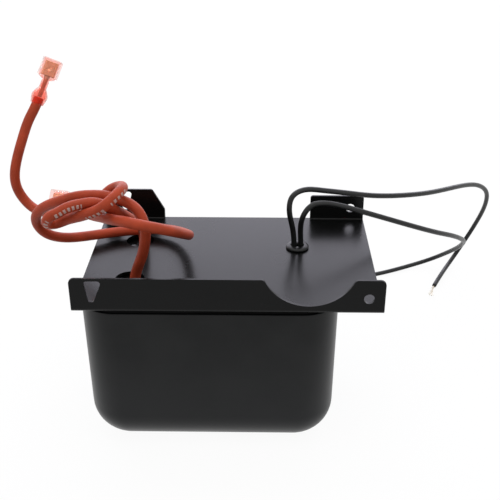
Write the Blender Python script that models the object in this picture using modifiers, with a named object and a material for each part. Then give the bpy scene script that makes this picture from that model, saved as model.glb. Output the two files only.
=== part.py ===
"""Ignition transformer for an oil burner, as a parametric solid model.

A deep-drawn black can holds a potted core with one primary and two secondary coils. A folded
sheet plate closes the can and carries the mounting flange and tabs. Two silicone high-voltage
leads with insulated push-on terminals come up through plain holes, and two thin primary leads
come up through a bushing and end in bare strands.

Metres, +Z up. The origin is the middle of the footprint, on the surface the can stands on.
+X is the long side of the plate, -Y the side with the full flange.
"""
import math

import bmesh
import bpy
import numpy as np
from mathutils import Matrix, Vector

MM = 0.001
GAP = 0.3 * MM                      # clearance between neighbouring pieces

# Mounting plate, one folded sheet
PLATE_WIDTH = 140.0 * MM
PLATE_DEPTH = 97.0 * MM
SHEET = 1.5 * MM
BEND_RADIUS = 2.2 * MM              # outer radius of the folds
FLANGE_HEIGHT = 17.3 * MM
FLANGE_CORNER = 2.5 * MM
TAB_LEFT_WIDTH = 32.5 * MM
TAB_LEFT_HEIGHT = 18.1 * MM
TAB_LEFT_CHAMFER_WIDTH = 6.4 * MM
TAB_LEFT_CHAMFER_FOOT = 6.5 * MM    # height at which the slanted edge meets the tab's side
TAB_RIGHT_WIDTH = 28.7 * MM
TAB_RIGHT_HEIGHT = 15.0 * MM
TAB_CORNER = 1.5 * MM

# Arch cut out of the front flange
ARCH_RADIUS = 22.0 * MM
ARCH_FROM_END = 33.6 * MM
ARCH_LOW = 4.0 * MM                 # height of the arch's lowest point over the underside
ARCH_BLEND = 2.2 * MM

# Fixing holes
SLOT_FROM_END = 10.2 * MM
REAR_SLOT_FROM_END = 11.1 * MM
SLOT_WIDTH = 8.3 * MM
SLOT_BELOW_TOP = 1.3 * MM           # metal left over the slot's wide end
SLOT_LENGTH = 10.8 * MM
SLOT_FOOT_RADIUS = 2.2 * MM
SLOT_CORNER = 1.4 * MM
ROUND_HOLE_FROM_END = 7.1 * MM
ROUND_HOLE_HEIGHT = 8.0 * MM
ROUND_HOLE_BORE = 4.8 * MM

# Holes in the plate for the leads
HV_HOLE_BORE = 14.0 * MM
HV_HOLE_X = -47.6 * MM
HV_HOLE_PITCH = 40.1 * MM
BUSHING_X = 33.3 * MM
BUSHING_Y = 13.0 * MM
BUSHING_BORE = 9.6 * MM             # hole in the plate

# Can
CAN_WIDTH = 120.5 * MM
CAN_DEPTH = 92.0 * MM
CAN_HEIGHT = 80.0 * MM
CAN_X = -8.9 * MM
CAN_Y = -0.5 * MM
CAN_WALL = 1.5 * MM
CAN_CORNER = 18.0 * MM
CAN_BOTTOM_RADIUS = 20.0 * MM
CAN_DRAFT = 1.0 * MM                # how much each side leans in from rim to floor
CAN_RIM_RADIUS = 1.1 * MM
POTTING_BELOW_RIM = 1.0 * MM

# Core: a U stack closed by a bar, with a shunt bar across the window
CORE_WIDTH = 78.0 * MM
CORE_DEPTH = 74.0 * MM
CORE_STACK = 25.0 * MM
CORE_LEG = 16.0 * MM
CORE_Z = 36.0 * MM
SHUNT_WIDTH = 8.0 * MM
SHUNT_SPACER = 0.6 * MM
RIVET_SHANK = 3.8 * MM
RIVET_HEAD = 7.0 * MM
RIVET_HEAD_HEIGHT = 1.2 * MM

# Coils
BOBBIN_WALL = 1.5 * MM
BOBBIN_FLANGE = 1.5 * MM
PRIMARY_BUILD = 11.5 * MM
SECONDARY_BUILD = 11.5 * MM
COIL_CORNER = 7.0 * MM
WRAP = 0.8 * MM

# Earth strap from the core to the plate
STRAP_WIDTH = 8.0 * MM
STRAP_SHEET = 0.5 * MM
STRAP_FOOT = 7.0 * MM
STRAP_X = -30.0 * MM

# Bushing
BUSHING_FLANGE = 11.6 * MM
BUSHING_LIP = 2.0 * MM              # height of the rounded collar over the plate
BUSHING_SNAP = 10.4 * MM            # diameter of the snap ring under the plate

# Leads
HV_LEAD = 5.0 * MM
PRIMARY_LEAD = 2.75 * MM
PRIMARY_PITCH = 3.4 * MM
HV_SPLICE = 4.2 * MM
PRIMARY_SPLICE = 3.0 * MM
SPLICE_TOP = 73.0 * MM
BARE_LENGTH = 8.5 * MM
BARE_CORE = 1.2 * MM
BARE_TIP = 0.84 * MM

# Push-on terminals
BARREL_LENGTH = 8.6 * MM
BARREL_MOUTH = 6.6 * MM
BARREL_FLARE = 7.9 * MM
NECK_LENGTH = 4.4 * MM
NECK = 4.0 * MM
HEAD_LENGTH = 10.6 * MM
HEAD_WIDTH = 10.0 * MM
HEAD_THICKNESS = 4.4 * MM
HEAD_SHOULDER = 1.6 * MM            # length over which the neck widens to the head
HEAD_CORNER = 0.8 * MM
SLEEVE_WALL = 0.7 * MM
LEAD_INSERTION = 3.4 * MM
CONTACT_SHEET = 0.4 * MM
CONTACT_WIDTH = 7.6 * MM
CONTACT_THICKNESS = 2.2 * MM
CONTACT_STEM = 2.2 * MM

# Levels and places that follow from the sizes above
PLATE_UNDER = CAN_HEIGHT + GAP
PLATE_TOP = PLATE_UNDER + SHEET
FRONT_Y = -PLATE_DEPTH / 2
REAR_Y = PLATE_DEPTH / 2
ARCH_X = PLATE_WIDTH / 2 - ARCH_FROM_END
SLOT_X = SLOT_FROM_END - PLATE_WIDTH / 2
REAR_SLOT_X = REAR_SLOT_FROM_END - PLATE_WIDTH / 2
ROUND_HOLE_X = PLATE_WIDTH / 2 - ROUND_HOLE_FROM_END
POTTING_TOP = CAN_HEIGHT - POTTING_BELOW_RIM
CORE_TOP = CORE_Z + CORE_STACK / 2
WINDOW_DEPTH = CORE_DEPTH - 2 * CORE_LEG
LEG_OFFSET = (CORE_WIDTH - CORE_LEG) / 2

# Routes of the leads, in millimetres, from the splice to the free end
HV_ROUTE_FRONT = [
    (-45.6, -20.1, 73.3), (-45.6, -20.1, 77), (-43.9, -20.9, 86.4), (-40.7, -23.3, 95.2),
    (-38.3, -24.3, 105.7), (-38.7, -24.5, 113.9), (-41.1, -22.3, 118.1), (-45.2, -19.6, 120.6),
    (-50.8, -16.9, 121.8), (-56.4, -15.6, 122.7), (-62.9, -15.3, 122.9), (-69.5, -14.8, 122.1),
    (-77.5, -13.2, 119.3), (-85.8, -8.5, 114.5), (-92.2, -4.1, 108.5), (-94.4, -0.2, 101.5),
    (-92, 3, 94.7), (-85.4, 7.5, 89.6), (-76.2, 13.3, 87.1), (-65.5, 19.2, 86),
    (-54.2, 23.2, 85.6), (-43, 25, 85.6), (-32.4, 23.3, 86.4), (-25.2, 16, 88.5),
    (-21.1, 3.5, 93.5), (-20.1, -8.6, 99.6), (-21.7, -20.8, 106.4), (-25.2, -29.8, 111.9),
    (-31.2, -35.2, 116), (-37.9, -36.6, 118.1), (-44.9, -34.1, 118.4), (-51.7, -28.3, 116.7),
    (-58, -19.1, 113.4), (-66.9, -3, 107.1), (-74.3, 6.7, 104.3), (-85.1, 14, 101.4),
    (-95.6, 20.7, 97.3), (-103.6, 25.6, 98.1), (-109, 26.8, 104.9), (-110.1, 25.6, 114.5),
    (-108.1, 27.3, 124.2), (-105, 31.3, 133.9), (-102, 35.4, 141.7), (-99.2, 38.1, 146.8),
    (-97.1, 40.6, 151.4)]
HV_ROUTE_REAR = [
    (-45.9, 20, 73.3), (-45.9, 20, 77), (-45.1, 15.6, 88.3), (-44.9, 6, 96.9),
    (-46.3, -6.7, 106.1), (-49.1, -15.4, 113.2), (-52.5, -20.5, 118.2), (-56.2, -23.2, 121.5),
    (-60.7, -24.8, 123.4), (-65.4, -26.1, 123.4), (-69.2, -27.7, 123.2), (-72.5, -29.1, 122.4),
    (-76, -30.4, 120.8), (-78.7, -31, 119.6), (-80.7, -30.3, 117.5), (-81.3, -28.7, 115.2),
    (-80.2, -26.6, 113.6), (-77.7, -24.9, 113.3), (-74.2, -24.6, 114.6), (-70.4, -26, 116.4),
    (-65.4, -28.3, 118.7), (-62.1, -30, 120.5), (-58.4, -31, 122.3), (-54.5, -30.8, 124.8),
    (-51.4, -29.1, 127), (-48.8, -25.5, 128.7), (-47.8, -20.2, 128.8), (-49.4, -15.3, 127.4),
    (-52.7, -11.6, 125.2), (-55.9, -9.3, 122.6), (-58.4, -8.6, 120.1), (-60.7, -8.7, 117.7),
    (-62.5, -8.8, 116), (-64.3, -8.4, 115.1), (-65.9, -7.8, 114.9), (-68.1, -6.8, 114.7)]
PRIMARY_ROUTE_LEFT = [
    (31.6, 13, 73.3), (31.6, 13, 83.3), (30.4, 12.5, 94.2), (28.8, 11.9, 102.8),
    (30, 13.8, 109.4), (35.4, 17.6, 111.6), (44.3, 21.6, 110), (57.5, 27.1, 106.2),
    (69, 32.7, 102.5), (79.9, 39.5, 99.1), (92.7, 49, 95.4), (107.8, 62.7, 90.9),
    (122.4, 78.7, 86.5), (136.3, 95.9, 81.3), (147.9, 110.2, 74.8), (156.1, 121.2, 65.4),
    (158.8, 128.9, 55.3), (158.6, 140.6, 37.7), (153.4, 148.1, 17.7), (147.4, 147.2, 6.4),
    (137.5, 132, 2.5), (128.4, 114, 1.8)]
PRIMARY_ROUTE_RIGHT = [
    (35, 13, 73.3), (35, 13, 83.3), (34.6, 11.9, 92.9), (35.8, 11, 100.8),
    (39.5, 12.3, 105.4), (46.1, 15.3, 105.6), (54.9, 18.5, 102.8), (66.2, 22.8, 97.7),
    (79.1, 28.6, 91.3), (98, 39.3, 81), (112.1, 50.7, 72.2), (123.6, 63.5, 63.9),
    (132.9, 78.8, 54.2), (139.3, 96.7, 42.9), (141.4, 114.9, 30.2), (138.1, 132.5, 16.4),
    (129, 143, 5.4), (111.6, 138.4, 1.9), (92.6, 129.2, 1.8), (76, 122.5, 1.8), (61, 114.5, 1.8)]
TERMINAL_FACING = Vector((0.02, -0.84, 0.54))   # the side a terminal's flat face turns to


def clear_scene():
    for item in list(bpy.data.objects):
        bpy.data.objects.remove(item, do_unlink=True)


def new_collection(name):
    group = bpy.data.collections.new(name)
    bpy.context.scene.collection.children.link(group)
    return group


def material(name, colour, roughness, metallic=0.0):
    made = bpy.data.materials.new(name)
    made.use_nodes = True
    shader = made.node_tree.nodes["Principled BSDF"]
    shader.inputs["Base Color"].default_value = (*colour, 1.0)
    shader.inputs["Roughness"].default_value = roughness
    shader.inputs["Metallic"].default_value = metallic
    made.diffuse_color = (*colour, 1.0)
    return made


def place(name, mesh, group, finish=None, matrix=None, smooth=False):
    item = bpy.data.objects.new(name, mesh)
    group.objects.link(item)
    if matrix is not None:
        item.matrix_world = matrix
    if finish is not None:
        mesh.materials.append(finish)
    if smooth:
        mesh.shade_smooth()
        mesh.set_sharp_from_angle(angle=math.radians(35))
    return item


def as_cutter(item):
    item.hide_render = True
    item.display_type = "WIRE"
    return item


def boolean(target, tool, operation="DIFFERENCE"):
    step = target.modifiers.new(operation.title() + " " + tool.name, "BOOLEAN")
    step.operation = operation
    step.solver = "EXACT"
    step.object = tool


def box_mesh(name, size, bevel=0.0, segments=3):
    """A box about its own centre, with every edge rounded when bevel is given."""
    shape = bmesh.new()
    bmesh.ops.create_cube(shape, size=1.0)
    bmesh.ops.scale(shape, vec=size, verts=shape.verts)
    if bevel > 0:
        bmesh.ops.bevel(shape, geom=shape.edges[:], offset=bevel, segments=segments,
                        profile=0.5, affect="EDGES")
    mesh = bpy.data.meshes.new(name)
    shape.to_mesh(mesh)
    shape.free()
    return mesh


def cylinder_mesh(name, diameter, length, sides=32):
    shape = bmesh.new()
    bmesh.ops.create_cone(shape, cap_ends=True, segments=sides, radius1=diameter / 2,
                          radius2=diameter / 2, depth=length)
    mesh = bpy.data.meshes.new(name)
    shape.to_mesh(mesh)
    shape.free()
    return mesh


def along_y(x, y, z):
    """Placement that turns a piece's own Z axis to the world's Y axis."""
    return Matrix.Translation((x, y, z)) @ Matrix.Rotation(math.radians(-90), 4, "X")


def arc(centre_x, centre_y, radius, start, end, steps):
    """Points on a circle's arc, angles in degrees, both ends included."""
    angles = np.radians(np.linspace(start, end, steps + 1))
    return [(centre_x + radius * math.cos(a), centre_y + radius * math.sin(a)) for a in angles]


def rounded_outline(corners, steps=4):
    """Closed outline through (x, y, radius) corners, each one rounded with its own radius."""
    points = []
    count = len(corners)
    for index, (x, y, radius) in enumerate(corners):
        here = Vector((x, y))
        if radius <= 0:
            points.append((x, y))
            continue
        before = (Vector(corners[index - 1][:2]) - here).normalized()
        after = (Vector(corners[(index + 1) % count][:2]) - here).normalized()
        half = before.angle(after) / 2
        reach = radius / math.tan(half)
        middle = here + (before + after).normalized() * (radius / math.sin(half))
        first = here + before * reach - middle
        last = here + after * reach - middle
        turn = first.angle_signed(last)
        for step in range(steps + 1):
            angle = -turn * step / steps
            cos, sin = math.cos(angle), math.sin(angle)
            points.append((middle.x + first.x * cos - first.y * sin,
                           middle.y + first.x * sin + first.y * cos))
    return points


def rectangle(width, height, radius=0.0, x=0.0, y=0.0):
    return [(x - width / 2, y - height / 2, radius), (x + width / 2, y - height / 2, radius),
            (x + width / 2, y + height / 2, radius), (x - width / 2, y + height / 2, radius)]


def curve_to_mesh(curve_object, name):
    """Mesh of an evaluated curve object, with its loose caps welded."""
    evaluated = curve_object.evaluated_get(bpy.context.evaluated_depsgraph_get())
    mesh = bpy.data.meshes.new_from_object(evaluated)
    mesh.name = name
    shape = bmesh.new()
    shape.from_mesh(mesh)
    bmesh.ops.remove_doubles(shape, verts=shape.verts, dist=0.001 * MM)
    bmesh.ops.recalc_face_normals(shape, faces=shape.faces)
    shape.to_mesh(mesh)
    shape.free()
    mesh.materials.clear()
    return mesh


def sheet_mesh(name, outlines, thickness):
    """A flat shape with holes, drawn in XY and thickened both ways along Z."""
    data = bpy.data.curves.new(name, "CURVE")
    data.dimensions = "2D"
    data.fill_mode = "BOTH"
    data.extrude = thickness / 2
    for outline in outlines:
        spline = data.splines.new("POLY")
        spline.points.add(len(outline) - 1)
        for point, (x, y) in zip(spline.points, outline):
            point.co = (x, y, 0.0, 1.0)
        spline.use_cyclic_u = True
    drawn = bpy.data.objects.new(name, data)
    bpy.context.scene.collection.objects.link(drawn)
    bpy.context.view_layer.update()
    mesh = curve_to_mesh(drawn, name)
    bpy.data.objects.remove(drawn, do_unlink=True)
    bpy.data.curves.remove(data)
    return mesh


def upright(x=0.0, y=0.0, z=0.0):
    """Placement of an XY drawing in the XZ plane, its thickness along Y."""
    return Matrix.Translation((x, y, z)) @ Matrix.Rotation(math.radians(90), 4, "X")


def crosswise(x=0.0, y=0.0, z=0.0):
    """Placement of an XY drawing in the YZ plane, its thickness along X."""
    turn = Matrix(((0, 0, 1, 0), (1, 0, 0, 0), (0, 1, 0, 0), (0, 0, 0, 1)))
    return Matrix.Translation((x, y, z)) @ turn


def turned(name, profile, group, finish, matrix, sides=32):
    """A turned piece from (radius, height) points that run down its outer side."""
    mesh = bpy.data.meshes.new(name)
    verts = [(radius, 0.0, height) for radius, height in profile]
    edges = [(index, (index + 1) % len(verts)) for index in range(len(verts))]
    if profile[0][0] == 0.0:
        edges.pop()
    mesh.from_pydata(verts, edges, [])
    item = place(name, mesh, group, finish, matrix)
    screw = item.modifiers.new("Turn", "SCREW")
    screw.steps = sides
    screw.render_steps = sides
    screw.use_merge_vertices = True
    screw.merge_threshold = 0.001 * MM
    screw.use_smooth_shade = True
    return item


def smooth_curve(route):
    """Cubic spline through the route's points, sampled finely, in metres."""
    points = np.array(route, dtype=float) * MM
    spans = np.linalg.norm(np.diff(points, axis=0), axis=1)
    count = len(points)
    system = np.zeros((count, count))
    known = np.zeros((count, 3))
    system[0, 0] = system[-1, -1] = 1.0
    for i in range(1, count - 1):
        system[i, i - 1] = spans[i - 1]
        system[i, i] = 2 * (spans[i - 1] + spans[i])
        system[i, i + 1] = spans[i]
        known[i] = 6 * ((points[i + 1] - points[i]) / spans[i]
                        - (points[i] - points[i - 1]) / spans[i - 1])
    bend = np.linalg.solve(system, known)
    samples = []
    for i, span in enumerate(spans):
        ahead = np.linspace(0, span, 24, endpoint=False)[:, None]
        back = span - ahead
        samples.append(bend[i] * back ** 3 / (6 * span) + bend[i + 1] * ahead ** 3 / (6 * span)
                       + (points[i] / span - bend[i] * span / 6) * back
                       + (points[i + 1] / span - bend[i + 1] * span / 6) * ahead)
    samples.append(points[-1:])
    return np.vstack(samples)


def even_points(curve, spacing):
    """Points at an even distance along a finely sampled curve."""
    along = np.concatenate(([0.0], np.cumsum(np.linalg.norm(np.diff(curve, axis=0), axis=1))))
    count = max(2, round(along[-1] / spacing) + 1)
    wanted = np.linspace(0, along[-1], count)
    return np.stack([np.interp(wanted, along, curve[:, axis]) for axis in range(3)], axis=1)


def cord(name, route, diameter, spacing, group, finish):
    data = bpy.data.curves.new(name, "CURVE")
    data.dimensions = "3D"
    data.bevel_depth = diameter / 2
    data.bevel_resolution = 2
    data.use_fill_caps = True
    points = even_points(smooth_curve(route), spacing)
    spline = data.splines.new("POLY")
    spline.points.add(len(points) - 1)
    for point, place_at in zip(spline.points, points):
        point.co = (*place_at, 1.0)
    drawn = bpy.data.objects.new(name, data)
    bpy.context.scene.collection.objects.link(drawn)
    bpy.context.view_layer.update()
    mesh = curve_to_mesh(drawn, name)
    bpy.data.objects.remove(drawn, do_unlink=True)
    bpy.data.curves.remove(data)
    return place(name, mesh, group, finish, smooth=True)


def route_end(route):
    """Last point of a route in metres and the direction it ends in."""
    curve = smooth_curve(route)
    return Vector(curve[-1]), Vector(curve[-1] - curve[-4]).normalized()


def lead_frame(route, back=0.0):
    """Placement whose Z runs on from a lead's end and whose -Y is the terminal's flat side."""
    end, axis = route_end(route)
    side = axis.cross(-TERMINAL_FACING).normalized()
    normal = axis.cross(-side).normalized()
    turn = Matrix((side, -normal, axis)).transposed().to_4x4()
    if turn.determinant() < 0:
        turn = Matrix((-side, -normal, axis)).transposed().to_4x4()
    return Matrix.Translation(end - axis * back) @ turn


def ring_points(width, depth, corner, x, y, z, steps):
    """One level of the can: a rounded rectangle at height z."""
    flat = rounded_outline(rectangle(width, depth, corner), steps)
    return [(x + px, y + py, z) for px, py in flat]


def loft_mesh(name, rings):
    """Skin over rings with the same number of points, one after another, with filled ends."""
    shape = bmesh.new()
    levels = [[shape.verts.new(point) for point in ring] for ring in rings]
    count = len(levels[0])
    for upper, lower in zip(levels, levels[1:]):
        for i in range(count):
            j = (i + 1) % count
            shape.faces.new((upper[i], lower[i], lower[j], upper[j]))
    shape.faces.new(levels[0])
    shape.faces.new(list(reversed(levels[-1])))
    bmesh.ops.recalc_face_normals(shape, faces=shape.faces)
    mesh = bpy.data.meshes.new(name)
    shape.to_mesh(mesh)
    shape.free()
    return mesh


def can_rings(inset, floor, top, bottom_radius, rim_radius=0.0, corner_steps=6, bottom_steps=6):
    """Levels of the can's outline, drawn in by inset, from the top down to the floor."""
    levels = []
    if rim_radius > 0:
        for step in range(4):
            angle = math.radians(90 - 30 * step)
            levels.append((rim_radius * (1 - math.cos(angle)),
                           top - rim_radius * (1 - math.sin(angle))))
    else:
        levels.append((0.0, top))
    for step in range(bottom_steps + 1):
        angle = math.radians(90 * step / bottom_steps)
        levels.append((bottom_radius * (1 - math.cos(angle)),
                       floor + bottom_radius * (1 - math.sin(angle))))
    rings = []
    for pulled, z in levels:
        lean = CAN_DRAFT * (CAN_HEIGHT - z) / CAN_HEIGHT
        drawn = inset + pulled + lean
        corner = max((CAN_CORNER - inset) * (1 - pulled / (1.12 * bottom_radius)), 1.0 * MM)
        rings.append(ring_points(CAN_WIDTH - 2 * drawn, CAN_DEPTH - 2 * drawn, corner,
                                 CAN_X, CAN_Y, z, corner_steps))
    return rings


def make_can(parts, finish):
    """Cup skinned in one run: up its inside, over the rim and down its outside."""
    outer = can_rings(0.0, 0.0, CAN_HEIGHT, CAN_BOTTOM_RADIUS, CAN_RIM_RADIUS)
    inner = can_rings(CAN_WALL, CAN_WALL, CAN_HEIGHT, CAN_BOTTOM_RADIUS - CAN_WALL)
    place("can", loft_mesh("can", inner[::-1] + outer), parts, finish, smooth=True)


def teardrop(x, top, width, length, foot_radius, corner):
    """Slot that is wide and square at the top and narrows to a round foot."""
    foot_y = top - length + foot_radius
    rise = top - foot_y
    reach = math.hypot(width / 2, rise)
    touch = math.degrees(math.atan2(rise, width / 2) - math.acos(foot_radius / reach))
    foot = arc(x, foot_y, foot_radius, touch, -180 - touch, 8)
    corners = [(x - width / 2, top, corner), (x + width / 2, top, corner)]
    corners += [(px, py, 0.0) for px, py in foot]
    return rounded_outline(corners, 3)


def flange_outline():
    """What stays of the front flange, in XZ, with the arch taken out of its top edge."""
    half = PLATE_WIDTH / 2
    low = PLATE_UNDER - SHEET
    top = PLATE_UNDER + FLANGE_HEIGHT
    arch_z = PLATE_UNDER + ARCH_LOW + ARCH_RADIUS
    centre_drop = arch_z - (top - ARCH_BLEND)
    reach = math.sqrt((ARCH_RADIUS + ARCH_BLEND) ** 2 - centre_drop ** 2)
    lean = math.degrees(math.asin(centre_drop / (ARCH_RADIUS + ARCH_BLEND)))
    left = arc(ARCH_X - reach, top - ARCH_BLEND, ARCH_BLEND, 90, lean, 4)
    bowl = arc(ARCH_X, arch_z, ARCH_RADIUS, 180 + lean, 360 - lean, 20)
    right = arc(ARCH_X + reach, top - ARCH_BLEND, ARCH_BLEND, 180 - lean, 90, 4)
    side = half + SHEET
    foot = top - FLANGE_CORNER
    outline = [(-side, low), (-side, foot)]
    outline += arc(-half + FLANGE_CORNER, foot, FLANGE_CORNER, 180, 90, 4)
    outline += left + bowl[1:-1] + right
    outline += arc(half - FLANGE_CORNER, foot, FLANGE_CORNER, 90, 0, 4)
    return outline + [(side, foot), (side, low)]


def tab_outline():
    """What stays of the rear flange, in XZ: the two tabs and the plate's edge between them."""
    half = PLATE_WIDTH / 2
    low = PLATE_UNDER - SHEET
    left_end = -half + TAB_LEFT_WIDTH
    right_start = half - TAB_RIGHT_WIDTH
    left_top = PLATE_UNDER + TAB_LEFT_HEIGHT
    right_top = PLATE_UNDER + TAB_RIGHT_HEIGHT
    side = half + SHEET
    left_foot, right_foot = left_top - TAB_CORNER, right_top - TAB_CORNER
    left = arc(-half + TAB_CORNER, left_foot, TAB_CORNER, 180, 90, 3)
    right = arc(half - TAB_CORNER, right_foot, TAB_CORNER, 90, 0, 3)
    corners = [(-side, low, 0), (-side, left_foot, 0)]
    corners += [(x, z, 0) for x, z in left]
    corners += [
        (left_end - TAB_LEFT_CHAMFER_WIDTH, left_top, TAB_CORNER),
        (left_end, PLATE_UNDER + TAB_LEFT_CHAMFER_FOOT, TAB_CORNER),
        (left_end, PLATE_TOP, 0), (right_start, PLATE_TOP, 0),
        (right_start, right_top, TAB_CORNER)]
    corners += [(x, z, 0) for x, z in right]
    corners += [(side, right_foot, 0), (side, low, 0)]
    return rounded_outline(corners, 3)


def folded_section():
    """Section of the folded sheet in YZ, from the front flange's foot round to its top."""
    inner = BEND_RADIUS - SHEET
    front, rear = FRONT_Y, REAR_Y
    under = PLATE_UNDER
    front_top = under + FLANGE_HEIGHT + SHEET
    rear_top = under + max(TAB_LEFT_HEIGHT, TAB_RIGHT_HEIGHT) + SHEET
    points = [(front, front_top)]
    points += arc(front + BEND_RADIUS, under + BEND_RADIUS, BEND_RADIUS, 180, 270, 5)
    points += arc(rear - BEND_RADIUS, under + BEND_RADIUS, BEND_RADIUS, 270, 360, 5)
    points += [(rear, rear_top), (rear - SHEET, rear_top)]
    points += arc(rear - BEND_RADIUS, under + BEND_RADIUS, inner, 360, 270, 3)
    points += arc(front + BEND_RADIUS, under + BEND_RADIUS, inner, 270, 180, 3)
    points += [(front + SHEET, front_top)]
    return points


def make_plate(parts, cutters, finish):
    """Folded sheet: the U section first, then its flanges trimmed and the holes cut."""
    mesh = sheet_mesh("mounting_plate", [folded_section()], PLATE_WIDTH)
    plate = place("mounting_plate", mesh, parts, finish, crosswise())
    frame_width = PLATE_WIDTH + 8 * SHEET
    frame_low = PLATE_UNDER - 2 * SHEET
    frame_height = 2 * max(FLANGE_HEIGHT, TAB_LEFT_HEIGHT, TAB_RIGHT_HEIGHT)
    frame = rounded_outline(rectangle(frame_width, frame_height, 0.0, 0.0,
                                      frame_low + frame_height / 2))
    reach = 4 * BEND_RADIUS
    trims = (("trim_front", flange_outline(), FRONT_Y), ("trim_rear", tab_outline(), REAR_Y))
    for name, kept, y in trims:
        mesh = sheet_mesh(name, [frame, kept], reach)
        boolean(plate, as_cutter(place(name, mesh, cutters, matrix=upright(0.0, y, 0.0))))
    slots = (("slot_front", SLOT_X, PLATE_UNDER + FLANGE_HEIGHT, FRONT_Y),
             ("slot_rear", REAR_SLOT_X, PLATE_UNDER + TAB_LEFT_HEIGHT, REAR_Y))
    for name, x, edge, y in slots:
        outline = teardrop(x, edge - SLOT_BELOW_TOP, SLOT_WIDTH, SLOT_LENGTH,
                           SLOT_FOOT_RADIUS, SLOT_CORNER)
        mesh = sheet_mesh(name, [outline], reach)
        boolean(plate, as_cutter(place(name, mesh, cutters, matrix=upright(0.0, y, 0.0))))
    for name, y in (("hole_front", FRONT_Y), ("hole_rear", REAR_Y)):
        mesh = cylinder_mesh(name, ROUND_HOLE_BORE, reach, 24)
        where = along_y(ROUND_HOLE_X, y, PLATE_UNDER + ROUND_HOLE_HEIGHT)
        boolean(plate, as_cutter(place(name, mesh, cutters, matrix=where)))
    lead_holes = (("hole_hv_front", HV_HOLE_X, -HV_HOLE_PITCH / 2, HV_HOLE_BORE),
                  ("hole_hv_rear", HV_HOLE_X, HV_HOLE_PITCH / 2, HV_HOLE_BORE),
                  ("hole_bushing", BUSHING_X, BUSHING_Y, BUSHING_BORE))
    for name, x, y, bore in lead_holes:
        mesh = cylinder_mesh(name, bore, 4 * SHEET, 40)
        where = Matrix.Translation((x, y, PLATE_UNDER + SHEET / 2))
        boolean(plate, as_cutter(place(name, mesh, cutters, matrix=where)))


def make_bushing(parts, cutters, finish):
    """Snap-in bushing with a rounded collar and one oval bore for the two primary leads."""
    collar = BUSHING_FLANGE / 2
    body = BUSHING_BORE / 2 - GAP
    snap = BUSHING_SNAP / 2
    seat = PLATE_TOP + GAP
    lip = BUSHING_LIP
    under = PLATE_UNDER - GAP
    foot = POTTING_TOP + GAP
    profile = [(0.0, seat + lip), (collar - 0.75 * lip, seat + lip)]
    profile += [(collar - 0.75 * lip + 0.75 * lip * math.sin(a), seat + 0.25 * lip
                 + 0.75 * lip * math.cos(a)) for a in np.radians((22.5, 45, 67.5, 90))]
    profile += [(collar, seat), (body, seat), (body, under), (snap, under),
                (body, foot), (0.0, foot)]
    item = turned("lead_bushing", profile, parts, finish,
                  Matrix.Translation((BUSHING_X, BUSHING_Y, 0.0)), 32)
    width = PRIMARY_PITCH + PRIMARY_LEAD + 2 * GAP
    oval = rounded_outline(rectangle(width, PRIMARY_LEAD + 2 * GAP,
                                     0.99 * PRIMARY_LEAD / 2 + GAP), 5)
    mesh = sheet_mesh("bore_bushing", [oval], 3 * BUSHING_BORE)
    where = Matrix.Translation((BUSHING_X, BUSHING_Y, PLATE_UNDER))
    boolean(item, as_cutter(place("bore_bushing", mesh, cutters, matrix=where)))


def core_centre(x=0.0, y=0.0, z=0.0):
    return Matrix.Translation((CAN_X + x, CAN_Y + y, CORE_Z + z))


def rivet_places():
    x = (CORE_WIDTH - CORE_LEG) / 2
    y = (CORE_DEPTH - CORE_LEG) / 2
    return [(-x, -y), (x, -y), (-x, y), (x, y)]


def make_core(parts, cutters, steel, rivet_steel, board):
    """U stack and closing bar round one window, riveted, with a shunt bar across the middle."""
    u_width = CORE_WIDTH - CORE_LEG - GAP
    u_x = CORE_WIDTH / 2 - u_width / 2
    inner = u_width - CORE_LEG
    outline = [(-u_width / 2, -CORE_DEPTH / 2), (u_width / 2, -CORE_DEPTH / 2),
               (u_width / 2, CORE_DEPTH / 2), (-u_width / 2, CORE_DEPTH / 2),
               (-u_width / 2, WINDOW_DEPTH / 2), (-u_width / 2 + inner, WINDOW_DEPTH / 2),
               (-u_width / 2 + inner, -WINDOW_DEPTH / 2), (-u_width / 2, -WINDOW_DEPTH / 2)]
    mesh = sheet_mesh("core_u_stack", [outline], CORE_STACK)
    u_stack = place("core_u_stack", mesh, parts, steel, core_centre(u_x))
    mesh = box_mesh("core_bar_stack", (CORE_LEG, CORE_DEPTH, CORE_STACK))
    bar = place("core_bar_stack", mesh, parts, steel, core_centre(-LEG_OFFSET))
    shunt_depth = WINDOW_DEPTH - 2 * (SHUNT_SPACER + 2 * GAP)
    mesh = box_mesh("shunt_bar", (SHUNT_WIDTH, shunt_depth, CORE_STACK))
    place("shunt_bar", mesh, parts, steel, core_centre())
    for name, side in (("shunt_spacer_front", -1), ("shunt_spacer_rear", 1)):
        mesh = box_mesh(name, (SHUNT_WIDTH, SHUNT_SPACER, CORE_STACK))
        y = side * (WINDOW_DEPTH / 2 - GAP - SHUNT_SPACER / 2)
        place(name, mesh, parts, board, core_centre(0.0, y))
    half = CORE_STACK / 2
    shank = RIVET_SHANK / 2
    head = RIVET_HEAD / 2
    cap = half + GAP
    profile = [(0.0, cap + RIVET_HEAD_HEIGHT), (0.6 * head, cap + 0.9 * RIVET_HEAD_HEIGHT),
               (head, cap), (shank, cap), (shank, -cap), (head, -cap),
               (0.6 * head, -cap - 0.9 * RIVET_HEAD_HEIGHT), (0.0, -cap - RIVET_HEAD_HEIGHT)]
    for index, (x, y) in enumerate(rivet_places()):
        name = "core_rivet_%d" % (index + 1)
        turned(name, profile, parts, rivet_steel, core_centre(x, y), 16)
        mesh = cylinder_mesh("bore_" + name, RIVET_SHANK + 2 * GAP, 2 * CORE_STACK, 16)
        bore = as_cutter(place("bore_" + name, mesh, cutters, matrix=core_centre(x, y)))
        boolean(bar if x < 0 else u_stack, bore)


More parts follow.
